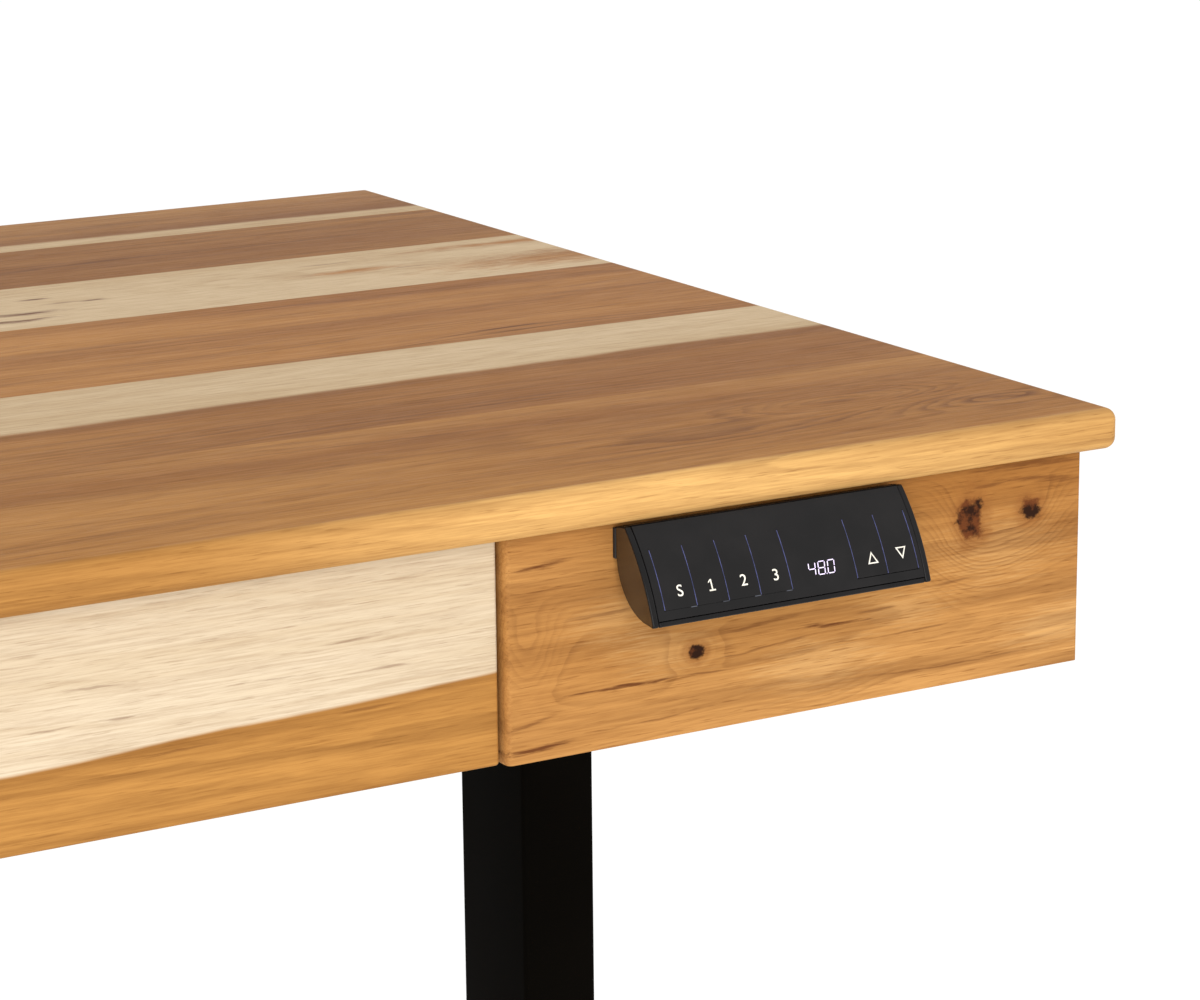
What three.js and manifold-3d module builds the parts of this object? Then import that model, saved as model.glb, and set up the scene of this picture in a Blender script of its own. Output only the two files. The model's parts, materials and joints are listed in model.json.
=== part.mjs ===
// Height adjustable standing desk, modelled fully raised, in millimetres with +Z up.
// X runs along the desk, -Y is the side the user sits at, and the floor is at Z = 0.
import * as THREE from "three";
import { mergeVertices } from "three/addons/utils/BufferGeometryUtils.js";
import Module from "manifold-3d";

const wasm = await Module();
wasm.setup();

// Fit
const seam = 0.2; // gap between pieces that are screwed, glued or welded together

// Desktop
const desk = { length: 1219.2, depth: 762, top: 1219.2, thickness: 19.05, overhang: 12.7 };
desk.bottom = desk.top - desk.thickness;
desk.cornerRadius = 6.5;
desk.topRound = 6;
desk.bottomRound = 4.5;

// Apron box under the desktop
const apron = { height: 101.6, thickness: 19, panelWidth: 300.2, endRound: 3 };
apron.halfLength = desk.length / 2 - desk.overhang;
apron.halfDepth = desk.depth / 2 - desk.overhang;
apron.bottom = desk.bottom - apron.height;
apron.top = desk.bottom - seam;
apron.innerX = apron.halfLength - apron.thickness;
apron.innerY = apron.halfDepth - apron.thickness;
apron.openingHalf = apron.halfLength - apron.panelWidth;

// Drawer and its telescopic runners
const drawer = { sideGap: 1.8, topGap: 2, setBack: 4, frontThickness: 16, wall: 12, panel: 6 };
drawer.bottom = apron.bottom + 11.5;
drawer.height = 76;
drawer.rear = -64;
const partition = { innerX: apron.openingHalf + 2.3, thickness: 18, rear: -40 };
const runner = { length: 280, front: -345, sheet: 1.5, height: 45, packThickness: 12.5 };
runner.midZ = drawer.bottom + drawer.height / 2;

// Lifting columns
const column = { x: 533.4, y: 46.7 };
const outerTube = { width: 50, depth: 80, wall: 1.5, radius: 4, top: 670 };
const innerTube = { width: 45, depth: 75, wall: 2, radius: 3.5, bottom: 560, top: 1144 };
const basePlate = { width: 74, depth: 110, thickness: 6 };
const collar = { flange: 3, skirt: 30, clearance: 0.3 };
const screw = { radius: 8, bottom: 600, top: 1170 };
const nutTube = { outer: 15, inner: 12, bore: 8.3, top: 640, nutHeight: 32 };

// Feet
const foot = { width: 76, length: 640, bottom: 20, middleTop: 62, endTop: 46, wall: 3, flatHalf: 70 };
const glide = { inset: 34, padRadius: 20, padHeight: 8, neckTop: 12, studRadius: 4, studTop: 32 };

// Steel frame under the desktop
const frame = { top: desk.bottom - 0.25, beamHeight: 40, beamWidth: 25, beamWall: 2, beamHalf: 556 };
const head = { sheet: 4, halfDepth: 58, inboard: 45, outboard: 22.5, hole: 15 };
const gearbox = { inboard: 36, outboard: 20, halfDepth: 34, bottom: 1148.6, top: 1192, boss: 14 };
const motor = { radius: 21, length: 96, capLength: 12 };
const sideRail = { sheet: 3, flange: 19, front: -280, rear: 340 };

// Control box and its mains socket
const controlBox = { halfLength: 130, halfDepth: 40, height: 32, wall: 2.5, tab: 20 };
const socket = { offset: 16, width: 30, height: 22, depth: 24, wall: 2.5, pinWidth: 4 };

// Hand control on the right apron panel: section positions are from the panel's lower edge
const hand = { x: 419.7, halfLength: 71, capWidth: 3, wall: 1.8, sheet: 2 };
hand.faceTop = new THREE.Vector2(-10.5, 100.3);
hand.faceLength = 43;
hand.tilt = THREE.MathUtils.degToRad(31.5);
hand.crown = 2.3;
hand.lip = 2.2;
hand.backY = -2.8;
hand.backTop = 99;
hand.plate = { front: -2.4, bottom: 84.5, top: 98 };
hand.under = { y: -29.5, z: 88, radiusZ: 26.8 };
const key = { pitch: 16, gap: 0.5, top: 12, bottom: 39, rowStart: -64, arrowStart: 33.6, peg: 3 };

const colours = {
  heartwood: [0xb98752, 0.5, 0],
  sapwood: [0xe3cda2, 0.5, 0],
  drawerWood: [0xd9c39a, 0.6, 0],
  blackSteel: [0x0c0c0d, 0.55, 0.3],
  zincSteel: [0xb4b8bb, 0.35, 0.9],
  screwSteel: [0x8c9094, 0.3, 0.95],
  castAluminium: [0x9a9c9e, 0.5, 0.8],
  blackPlastic: [0x121214, 0.5, 0],
  glossBlack: [0x08080a, 0.12, 0],
  smokedPlastic: [0x2a1d14, 0.18, 0],
  greenBoard: [0x1f5a36, 0.5, 0],
  rubber: [0x17171a, 0.8, 0],
};

// --- geometry helpers -------------------------------------------------------------------

function block(x0, x1, y0, y1, z0, z1) {
  const geometry = new THREE.BoxGeometry(Math.abs(x1 - x0), Math.abs(y1 - y0), Math.abs(z1 - z0));
  return geometry.translate((x0 + x1) / 2, (y0 + y1) / 2, (z0 + z1) / 2);
}

function rod(radius, x, y, z0, z1, sides = 20) {
  const geometry = new THREE.CylinderGeometry(radius, radius, z1 - z0, sides);
  return geometry.rotateX(Math.PI / 2).translate(x, y, (z0 + z1) / 2);
}

function turned(profile, x, y, sides = 20) {
  const points = profile.map(([radius, z]) => new THREE.Vector2(radius, z));
  return new THREE.LatheGeometry(points, sides).rotateX(Math.PI / 2).translate(x, y, 0);
}

function roundedRect(halfX, halfY, radius, steps = 4) {
  const points = [];
  for (let quarter = 0; quarter < 4; quarter++) {
    const centreX = (quarter === 0 || quarter === 3 ? 1 : -1) * (halfX - radius);
    const centreY = (quarter < 2 ? 1 : -1) * (halfY - radius);
    for (let step = 0; step <= steps; step++) {
      const angle = (quarter + step / steps) * Math.PI / 2;
      const [x, y] = [radius * Math.cos(angle), radius * Math.sin(angle)];
      points.push(new THREE.Vector2(centreX + x, centreY + y));
    }
  }
  return points;
}

function extrudeZ(outline, z0, z1, hole = null) {
  const shape = new THREE.Shape(outline);
  if (hole) shape.holes.push(new THREE.Path(hole));
  return new THREE.ExtrudeGeometry(shape, { depth: z1 - z0, bevelEnabled: false }).translate(0, 0, z0);
}

// An outline of (Y, Z) points carried along X
function extrudeX(outline, x0, x1) {
  const turn = new THREE.Matrix4().makeBasis(
    new THREE.Vector3(0, 1, 0), new THREE.Vector3(0, 0, 1), new THREE.Vector3(1, 0, 0));
  return extrudeZ(outline, Math.min(x0, x1), Math.max(x0, x1)).applyMatrix4(turn);
}

// An outline of (X, Z) points carried along Y
function extrudeY(outline, y0, y1) {
  const turn = new THREE.Matrix4().makeBasis(
    new THREE.Vector3(1, 0, 0), new THREE.Vector3(0, 0, 1), new THREE.Vector3(0, -1, 0));
  return extrudeZ(outline, -y1, -y0).applyMatrix4(turn);
}

function points2(...pairs) {
  return pairs.map(([a, b]) => new THREE.Vector2(a, b));
}

// Rings of (X, Y) points at rising heights, joined by walls and closed at both ends
function stack(rings) {
  const count = rings[0].outline.length;
  const positions = rings.flatMap(({ outline, z }) => outline.flatMap((point) => [point.x, point.y, z]));
  const index = [];
  for (let ring = 0; ring + 1 < rings.length; ring++) {
    for (let i = 0; i < count; i++) {
      const next = (i + 1) % count;
      const [a, b] = [ring * count + i, ring * count + next];
      index.push(a, b, b + count, a, b + count, a + count);
    }
  }
  const last = (rings.length - 1) * count;
  for (let i = 1; i + 1 < count; i++) {
    index.push(0, i + 1, i, last, last + i, last + i + 1);
  }
  const geometry = new THREE.BufferGeometry();
  geometry.setAttribute("position", new THREE.Float32BufferAttribute(positions, 3));
  geometry.setIndex(index);
  return geometry;
}

function solid(geometry) {
  const bare = geometry.clone();
  bare.deleteAttribute("normal");
  bare.deleteAttribute("uv");
  const merged = mergeVertices(bare, 1e-4);
  const index = Uint32Array.from(merged.index.array);
  const vertProperties = Float32Array.from(merged.attributes.position.array);
  return new wasm.Manifold(new wasm.Mesh({ numProp: 3, vertProperties, triVerts: index }));
}

function combine(base, { add = [], cut = [] }) {
  let body = solid(base);
  for (const extra of add) body = body.add(solid(extra));
  for (const tool of cut) body = body.subtract(solid(tool));
  const mesh = body.getMesh();
  const geometry = new THREE.BufferGeometry();
  geometry.setAttribute("position", new THREE.Float32BufferAttribute(mesh.vertProperties, 3));
  geometry.setIndex(new THREE.Uint32BufferAttribute(mesh.triVerts, 1));
  return geometry;
}

const deskGroup = new THREE.Group();

function piece(name, geometry, finish, group = deskGroup) {
  const [color, roughness, metalness] = colours[finish];
  const mesh = new THREE.Mesh(geometry, new THREE.MeshStandardMaterial({ color, roughness, metalness }));
  mesh.name = name;
  group.add(mesh);
}

const sides = [["left", -1], ["right", 1]];

// --- desktop and apron ------------------------------------------------------------------

function desktop() {
  const steps = 4;
  const rings = [];
  const ring = (inset, z) => rings.push({
    outline: roundedRect(desk.length / 2 - inset, desk.depth / 2 - inset, desk.cornerRadius - inset, 5),
    z,
  });
  for (let step = 0; step <= steps; step++) {
    const angle = step / steps * Math.PI / 2;
    ring(desk.bottomRound * (1 - Math.sin(angle)), desk.bottom + desk.bottomRound * (1 - Math.cos(angle)));
  }
  for (let step = 0; step <= steps; step++) {
    const angle = step / steps * Math.PI / 2;
    ring(desk.topRound * (1 - Math.cos(angle)), desk.top - desk.topRound * (1 - Math.sin(angle)));
  }
  return stack(rings);
}

// A front panel beside the drawer, with its drawer-side edge rounded over
function frontPanel(side) {
  const inner = apron.openingHalf;
  const front = -apron.halfDepth;
  const outline = [new THREE.Vector2(apron.halfLength, front)];
  outline.push(new THREE.Vector2(apron.halfLength, front + apron.thickness));
  outline.push(new THREE.Vector2(inner, front + apron.thickness));
  for (let step = 0; step <= 4; step++) {
    const angle = Math.PI + step / 4 * Math.PI / 2;
    outline.push(new THREE.Vector2(
      inner + apron.endRound * (1 + Math.cos(angle)),
      front + apron.endRound * (1 + Math.sin(angle)),
    ));
  }
  const placed = side > 0 ? outline : outline.map((point) => new THREE.Vector2(-point.x, point.y));
  return extrudeZ(placed, apron.bottom, apron.top);
}

function addApron() {
  const { halfLength, halfDepth, innerX, innerY, bottom, top } = apron;
  for (const [label, side] of sides) {
    piece(`apron_front_${label}`, frontPanel(side), "heartwood");
    const sideBoard = block(side * innerX, side * halfLength, -innerY + seam, innerY - seam, bottom, top);
    piece(`apron_side_${label}`, sideBoard, "heartwood");
    const outer = partition.innerX + partition.thickness;
    const divider = block(
      side * partition.innerX, side * outer, -innerY + seam, partition.rear, bottom + 6, top);
    piece(`drawer_partition_${label}`, divider, "drawerWood");
  }
  piece("apron_back", block(-halfLength, halfLength, innerY, halfDepth, bottom, top), "heartwood");
}

// --- drawer -----------------------------------------------------------------------------

// One rolled-steel runner member: a web with a lip along each edge
function channelMember(side, webX, lipX, halfHeight, front, rear) {
  const { sheet, midZ } = runner;
  const towards = Math.sign(lipX - webX);
  const innerX = webX + towards * sheet;
  const outline = points2(
    [webX, -halfHeight], [lipX, -halfHeight], [lipX, sheet - halfHeight], [innerX, sheet - halfHeight],
    [innerX, halfHeight - sheet], [lipX, halfHeight - sheet], [lipX, halfHeight], [webX, halfHeight],
  ).map((point) => new THREE.Vector2(side * point.x, point.y + midZ));
  return extrudeY(outline, front, rear);
}

function addDrawer() {
  const frontFace = -apron.halfDepth + drawer.setBack;
  const frontBack = frontFace + drawer.frontThickness;
  const halfFront = apron.openingHalf - drawer.sideGap;
  const boxOuter = partition.innerX - runner.packThickness - seam;
  const boxInner = boxOuter - drawer.wall;
  const boxTop = drawer.bottom + drawer.height;
  const boxFront = frontBack + seam;
  const frontTop = desk.bottom - drawer.topGap;
  const panelBottom = drawer.bottom + 2;

  const front = block(-halfFront, halfFront, frontFace, frontBack, apron.bottom, frontTop);
  piece("drawer_front", front, "sapwood");
  for (const [label, side] of sides) {
    const board = block(side * boxInner, side * boxOuter, boxFront, drawer.rear, drawer.bottom, boxTop);
    piece(`drawer_side_${label}`, board, "drawerWood");
  }
  const inside = boxInner - seam;
  const backFront = drawer.rear - drawer.wall;
  piece("drawer_back", block(-inside, inside, backFront, drawer.rear, drawer.bottom, boxTop), "drawerWood");
  const panelRear = backFront - seam;
  const panelTop = panelBottom + drawer.panel;
  piece("drawer_bottom", block(-inside, inside, boxFront, panelRear, panelBottom, panelTop), "drawerWood");
}

function addRunners() {
  const outerWeb = partition.innerX - seam;
  const innerWeb = partition.innerX - runner.packThickness;
  const { front } = runner;
  const rear = front + runner.length;
  const half = runner.height / 2;
  for (const [label, side] of sides) {
    const fixed = channelMember(side, outerWeb, outerWeb - 9, half, front, rear);
    piece(`runner_fixed_${label}`, fixed, "zincSteel");
    const middle = channelMember(side, outerWeb - 4.5, innerWeb + 1.7, half - 3.5, front + 5, rear - 5);
    piece(`runner_middle_${label}`, middle, "zincSteel");
    const moving = channelMember(side, innerWeb, innerWeb + 4, half - 7.5, front, rear);
    piece(`runner_drawer_${label}`, moving, "zincSteel");
  }
}

// --- columns and feet -------------------------------------------------------------------

function rectTube({ width, depth, wall, radius }, z0, z1) {
  const outer = roundedRect(width / 2, depth / 2, radius);
  const hole = roundedRect(width / 2 - wall, depth / 2 - wall, radius - wall);
  return extrudeZ(outer, z0, z1, hole);
}

function footProfile(inset, bottom) {
  const half = foot.length / 2 - inset;
  const nose = 14;
  const outline = points2([-half, bottom], [half, bottom]);
  for (let step = 0; step <= 4; step++) {
    const angle = step / 4 * Math.PI / 2;
    outline.push(new THREE.Vector2(
      half - nose + nose * Math.cos(angle), foot.endTop - inset - nose + nose * Math.sin(angle)));
  }
  outline.push(new THREE.Vector2(foot.flatHalf, foot.middleTop - inset));
  outline.push(new THREE.Vector2(-foot.flatHalf, foot.middleTop - inset));
  for (let step = 0; step <= 4; step++) {
    const angle = Math.PI / 2 + step / 4 * Math.PI / 2;
    outline.push(new THREE.Vector2(
      -half + nose + nose * Math.cos(angle), foot.endTop - inset - nose + nose * Math.sin(angle)));
  }
  return outline;
}

// A folded steel channel, open below, with a threaded boss for each levelling glide
function footBeam() {
  const glideY = foot.length / 2 - glide.inset;
  const shell = extrudeX(footProfile(0, foot.bottom), -foot.width / 2, foot.width / 2);
  const hollowHalf = foot.width / 2 - foot.wall;
  const hollow = extrudeX(footProfile(foot.wall, foot.bottom - 5), -hollowHalf, hollowHalf);
  const bosses = [];
  const bores = [];
  for (const end of [-1, 1]) {
    bosses.push(rod(9, 0, end * glideY, foot.bottom + 2, foot.endTop - 1, 16));
    bores.push(rod(glide.studRadius + 0.3, 0, end * glideY, foot.bottom - 1, foot.endTop - 4.5, 16));
  }
  const channel = combine(shell, { cut: [hollow] });
  return combine(channel, { add: bosses, cut: bores });
}

function addFeet() {
  const glideY = foot.length / 2 - glide.inset;
  const { padRadius, padHeight, neckTop, studRadius, studTop } = glide;
  const profile = [
    [0, 0], [padRadius - 1.5, 0], [padRadius, 1.5], [padRadius, padHeight - 2], [padRadius - 3, padHeight],
    [7, padHeight + 1], [7, neckTop], [studRadius, neckTop], [studRadius, studTop], [0, studTop],
  ];
  for (const [label, side] of sides) {
    const beam = footBeam().translate(side * column.x, column.y, 0);
    piece(`foot_${label}`, beam, "blackSteel");
    for (const [end, direction] of [["front", -1], ["rear", 1]]) {
      const foundation = turned(profile, side * column.x, column.y + direction * glideY, 20);
      piece(`glide_${end}_${label}`, foundation, "rubber");
    }
  }
}

function addColumns() {
  const plateBottom = foot.middleTop + seam;
  const plateTop = plateBottom + basePlate.thickness;
  for (const [label, side] of sides) {
    const x = side * column.x;
    const { y } = column;
    const plate = extrudeZ(roundedRect(basePlate.width / 2, basePlate.depth / 2, 6), plateBottom, plateTop);
    const lower = combine(plate, { add: [rectTube(outerTube, plateTop - 1, outerTube.top)] });
    piece(`lower_tube_${label}`, lower.translate(x, y, 0), "blackSteel");
    piece(`guide_collar_${label}`, guideCollar().translate(x, y, 0), "blackPlastic");
    const upper = rectTube(innerTube, innerTube.bottom, innerTube.top);
    piece(`upper_tube_${label}`, upper.translate(x, y, 0), "blackSteel");

    const nutBottom = nutTube.top - nutTube.nutHeight;
    const drive = [
      [nutTube.inner, plateTop + seam], [nutTube.outer, plateTop + seam], [nutTube.outer, nutTube.top],
      [nutTube.bore, nutTube.top], [nutTube.bore, nutBottom], [nutTube.inner, nutBottom],
      [nutTube.inner, plateTop + seam],
    ];
    piece(`nut_tube_${label}`, turned(drive, x, y, 24), "castAluminium");
    const spindle = [
      [0, screw.bottom], [screw.radius - 1.5, screw.bottom], [screw.radius, screw.bottom + 1.5],
      [screw.radius, screw.top], [0, screw.top],
    ];
    piece(`lead_screw_${label}`, turned(spindle, x, y, 24), "screwSteel");
  }
}

function guideCollar() {
  const { flange, skirt, clearance } = collar;
  const holeX = innerTube.width / 2 + clearance;
  const holeY = innerTube.depth / 2 + clearance;
  const skirtX = outerTube.width / 2 - outerTube.wall - seam;
  const skirtY = outerTube.depth / 2 - outerTube.wall - seam;
  const rim = extrudeZ(
    roundedRect(outerTube.width / 2, outerTube.depth / 2, outerTube.radius),
    outerTube.top + seam, outerTube.top + seam + flange,
  );
  const sleeveOutline = roundedRect(skirtX, skirtY, outerTube.radius - outerTube.wall);
  const sleeve = extrudeZ(sleeveOutline, outerTube.top - skirt, outerTube.top + 1);
  const hole = roundedRect(holeX, holeY, innerTube.radius + clearance);
  const bore = extrudeZ(hole, outerTube.top - skirt - 1, outerTube.top + flange + 2);
  return combine(rim, { add: [sleeve], cut: [bore] });
}

// --- steel frame, drives and control box -------------------------------------------------

function addFrame() {
  const beamBottom = frame.top - frame.beamHeight;
  for (const [label, direction] of [["front", -1], ["rear", 1]]) {
    const middleY = column.y + direction * (head.halfDepth + 0.3 + frame.beamWidth / 2);
    const [y0, y1] = [middleY - frame.beamWidth / 2, middleY + frame.beamWidth / 2];
    const { beamHalf: half, beamWall: wall, top } = frame;
    const shell = block(-half, half, y0, y1, beamBottom, top);
    const hollow = block(-half - 1, half + 1, y0 + wall, y1 - wall, beamBottom + wall, top - wall);
    piece(`crossbeam_${label}`, combine(shell, { cut: [hollow] }), "blackSteel");
  }
  for (const [label, side] of sides) {
    const webX = frame.beamHalf + 0.3;
    const { sheet, flange, front, rear } = sideRail;
    const outline = points2(
      [webX, beamBottom], [webX + sheet, beamBottom], [webX + sheet, frame.top - sheet],
      [webX + flange, frame.top - sheet], [webX + flange, frame.top], [webX, frame.top],
    ).map((point) => new THREE.Vector2(side * point.x, point.y));
    piece(`side_rail_${label}`, extrudeY(outline, front, rear), "blackSteel");
  }
}

// A U-shaped bracket on top of each column: its ears bolt to the crossbeams
function headBracket(side) {
  const bottom = innerTube.top + seam;
  const near = side * (column.x - head.inboard);
  const far = side * (column.x + head.outboard);
  const front = column.y - head.halfDepth;
  const rear = column.y + head.halfDepth;
  const top = frame.top - 1;
  const plate = block(near, far, front, rear, bottom, bottom + head.sheet);
  const ears = [
    block(near, far, front, front + head.sheet, bottom, top),
    block(near, far, rear - head.sheet, rear, bottom, top),
  ];
  const hole = rod(head.hole, side * column.x, column.y, bottom - 1, bottom + head.sheet + 1, 20);
  return combine(plate, { add: ears, cut: [hole] });
}

function addDrives() {
  for (const [label, side] of sides) {
    const x = side * column.x;
    const { y } = column;
    piece(`head_bracket_${label}`, headBracket(side), "blackSteel");

    const { inboard, outboard, halfDepth, bottom, top } = gearbox;
    const near = side * (column.x - inboard);
    const far = side * (column.x + outboard);
    const caseBlock = block(near, far, y - halfDepth, y + halfDepth, bottom, top);
    const boss = rod(gearbox.boss, x, y, bottom - 8, bottom + 1, 20);
    const bore = rod(screw.radius + 0.6, x, y, bottom - 9, screw.top + 1, 20);
    piece(`gearbox_${label}`, combine(caseBlock, { add: [boss], cut: [bore] }), "castAluminium");

    const { radius, length, capLength } = motor;
    const profile = [
      [0, 0], [radius, 0], [radius, length - capLength], [radius - 2, length - capLength],
      [radius - 2, length - 2], [radius - 4, length], [0, length],
    ];
    const body = turned(profile, 0, 0, 24).rotateY(-side * Math.PI / 2);
    body.translate(near - side * 0.3, y, (bottom + top) / 2);
    piece(`motor_${label}`, body, "blackSteel");
  }
}

function addControlBox() {
  const { halfLength, halfDepth, height, wall, tab } = controlBox;
  const { y } = column;
  const baseTop = frame.top;
  const baseBottom = baseTop - 3;
  const coverTop = baseBottom - seam;
  const coverBottom = coverTop - height;
  const baseHalf = halfLength + tab;
  const base = block(-baseHalf, baseHalf, y - halfDepth, y + halfDepth, baseBottom, baseTop);
  piece("control_box_base", base, "blackPlastic");

  const shell = block(-halfLength, halfLength, y - halfDepth, y + halfDepth, coverBottom, coverTop);
  const innerX = halfLength - wall;
  const innerY = halfDepth - wall;
  const hollow = block(-innerX, innerX, y - innerY, y + innerY, coverBottom + wall, coverTop + 1);

  // A rectangular prism through the socket's place in the box's right-hand end, drawn in by an inset
  const midZ = (coverBottom + coverTop) / 2;
  const socketY = y - socket.offset;
  const socketPrism = (x0, x1, inset) => block(
    x0, x1, socketY - socket.width / 2 + inset, socketY + socket.width / 2 - inset,
    midZ - socket.height / 2 + inset, midZ + socket.height / 2 - inset);
  const window = socketPrism(innerX - 1, halfLength + 1, 0);
  piece("control_box_cover", combine(shell, { cut: [hollow, window] }), "blackPlastic");

  const floor = halfLength - socket.depth;
  const mouth = halfLength + 1;
  const recess = socketPrism(floor + 5, mouth + 1, socket.wall);
  const pins = [[-7, -2], [0, 3], [7, -2]].map(([across, up]) => block(
    floor + 4, mouth - 4, socketY + across - 1, socketY + across + 1,
    midZ + up - socket.pinWidth / 2, midZ + up + socket.pinWidth / 2));
  const hollowed = combine(socketPrism(floor, mouth, 0.3), { cut: [recess] });
  piece("mains_socket", combine(hollowed, { add: pins }), "blackPlastic");
}

// --- hand control -------------------------------------------------------------------------

// A point of the crowned face: along it from its top edge, and below its surface
function facePoint(along, depth) {
  const down = new THREE.Vector2(-Math.sin(hand.tilt), -Math.cos(hand.tilt));
  const inward = new THREE.Vector2(Math.cos(hand.tilt), -Math.sin(hand.tilt));
  const centred = 2 * along / hand.faceLength - 1;
  const rise = hand.crown * (1 - centred * centred);
  return hand.faceTop.clone().addScaledVector(down, along).addScaledVector(inward, depth - rise);
}

function faceLine(start, end, depth, steps) {
  const line = [];
  for (let step = 0; step <= steps; step++) {
    line.push(facePoint(start + (end - start) * step / steps, depth));
  }
  return line;
}

function faceStrip(start, end, outerDepth, innerDepth, steps) {
  return [...faceLine(start, end, outerDepth, steps), ...faceLine(end, start, innerDepth, steps)];
}

// The curved underside, from the back edge forward to the lip
function undersidePoints(inset, steps) {
  const { y, z, radiusZ } = hand.under;
  const radiusY = hand.backY - y - inset;
  const points = [];
  for (let step = 0; step <= steps; step++) {
    const angle = step / steps * Math.PI / 2;
    points.push(new THREE.Vector2(y + radiusY * Math.cos(angle), z - (radiusZ - inset) * Math.sin(angle)));
  }
  return points;
}

function housingOutline() {
  const { wall, sheet, faceLength, lip } = hand;
  const faceGap = sheet + 0.3;
  const outer = [
    facePoint(0, 0.3).add(new THREE.Vector2(0.8, 0)),
    new THREE.Vector2(hand.backY, hand.backTop),
    ...undersidePoints(0, 10),
    facePoint(faceLength + lip, 1.4),
    facePoint(faceLength + lip, 0.4),
    facePoint(faceLength + 0.3, 0),
  ];
  const inner = [
    facePoint(faceLength + 0.3, faceGap),
    ...undersidePoints(wall, 10).reverse(),
    new THREE.Vector2(hand.backY - wall, hand.backTop - wall),
    facePoint(0.6, faceGap + 1),
  ];
  return [...outer, ...inner];
}

function capOutline() {
  const { faceLength, lip } = hand;
  return [
    new THREE.Vector2(hand.backY, hand.backTop),
    ...undersidePoints(0, 10),
    facePoint(faceLength + lip, 1.4),
    ...faceLine(faceLength + lip, 0, 0, 10),
  ];
}

function keyCap(start) {
  const half = key.gap / 2;
  const plate = extrudeX(
    faceStrip(key.top, key.bottom, 0, hand.sheet, 6), start + half, start + key.pitch - half);
  const middle = start + key.pitch / 2;
  const peg = extrudeX(
    faceStrip(29, 29 + key.peg, 1, 4.4, 1), middle - key.peg / 2, middle + key.peg / 2);
  return combine(plate, { add: [peg] });
}

function addHandControl() {
  const group = new THREE.Group();
  group.position.set(hand.x, -apron.halfDepth, apron.bottom);
  deskGroup.add(group);
  const { halfLength, capWidth, faceLength, sheet } = hand;
  const innerHalf = halfLength - capWidth - seam;

  const { front, bottom, top } = hand.plate;
  const plate = block(-halfLength, halfLength, front, -seam, bottom, top);
  piece("handset_plate", plate, "blackPlastic", group);
  piece("handset_housing", extrudeX(housingOutline(), -innerHalf, innerHalf), "glossBlack", group);

  const half = key.gap / 2;
  const cover = extrudeX(faceStrip(0.3, faceLength, 0, sheet, 12), -innerHalf, innerHalf);
  const slotStrip = faceStrip(key.top - half, key.bottom + half, -1, sheet + 1, 6);
  const slots = [[key.rowStart, 4], [key.arrowStart, 2]].map(([start, count]) => extrudeX(
    slotStrip, start - half, start + count * key.pitch + half));
  piece("handset_fascia", combine(cover, { cut: slots }), "glossBlack", group);

  for (const [label, side] of sides) {
    const cap = extrudeX(capOutline(), side * (halfLength - capWidth), side * halfLength);
    piece(`handset_end_cap_${label}`, cap, "smokedPlastic", group);
  }
  const board = extrudeX(faceStrip(8, 32, 6.2, 7.8, 1), -innerHalf + 4, innerHalf - 4);
  piece("handset_circuit_board", board, "greenBoard", group);

  ["s", "1", "2", "3"].forEach((label, place) => {
    piece(`key_${label}`, keyCap(key.rowStart + place * key.pitch), "glossBlack", group);
  });
  ["up", "down"].forEach((label, place) => {
    piece(`key_${label}`, keyCap(key.arrowStart + place * key.pitch), "glossBlack", group);
  });
}

piece("desktop", desktop(), "heartwood");
addApron();
addDrawer();
addRunners();
addFeet();
addColumns();
addFrame();
addDrives();
addControlBox();
addHandControl();

// The hand control stands out in front of the desktop, so the outline's middle is moved over the origin
const outline = new THREE.Box3().setFromObject(deskGroup);
deskGroup.position.y = -(outline.min.y + outline.max.y) / 2;

export default deskGroup;
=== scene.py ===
import json
import math
import bpy
from mathutils import Matrix, Vector


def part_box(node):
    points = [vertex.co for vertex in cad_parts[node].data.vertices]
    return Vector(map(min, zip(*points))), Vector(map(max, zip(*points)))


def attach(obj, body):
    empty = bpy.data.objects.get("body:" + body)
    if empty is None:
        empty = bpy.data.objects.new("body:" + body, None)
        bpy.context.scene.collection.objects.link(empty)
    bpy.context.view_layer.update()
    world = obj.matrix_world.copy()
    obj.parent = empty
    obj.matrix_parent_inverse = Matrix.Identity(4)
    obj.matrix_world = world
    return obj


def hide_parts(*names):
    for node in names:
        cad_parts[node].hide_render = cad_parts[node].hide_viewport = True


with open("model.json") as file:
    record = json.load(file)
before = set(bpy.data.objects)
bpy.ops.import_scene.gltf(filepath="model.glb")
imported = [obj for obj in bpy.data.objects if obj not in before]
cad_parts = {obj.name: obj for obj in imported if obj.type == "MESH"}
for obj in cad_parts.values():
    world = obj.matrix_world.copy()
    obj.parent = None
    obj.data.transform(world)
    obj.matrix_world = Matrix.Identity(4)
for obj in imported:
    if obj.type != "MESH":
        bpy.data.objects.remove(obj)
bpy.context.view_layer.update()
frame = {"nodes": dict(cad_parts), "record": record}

mm = 0.001
bodyOf = {node: body for body, nodes in frame["record"]["behaviour"]["bodies"].items() for node in nodes}
slotOf = {name: piece.data.materials[0].name for name, piece in frame["nodes"].items()}


# where the viewer stands, from the apron's front right lower corner

cameraView = {
    "fromCorner": (-0.99583, -1.28101, 0.47863),
    "yaw": 30.075,
    "down": 13.962,
    "roll": -0.577,
    "lens": 108.36,
}


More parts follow.
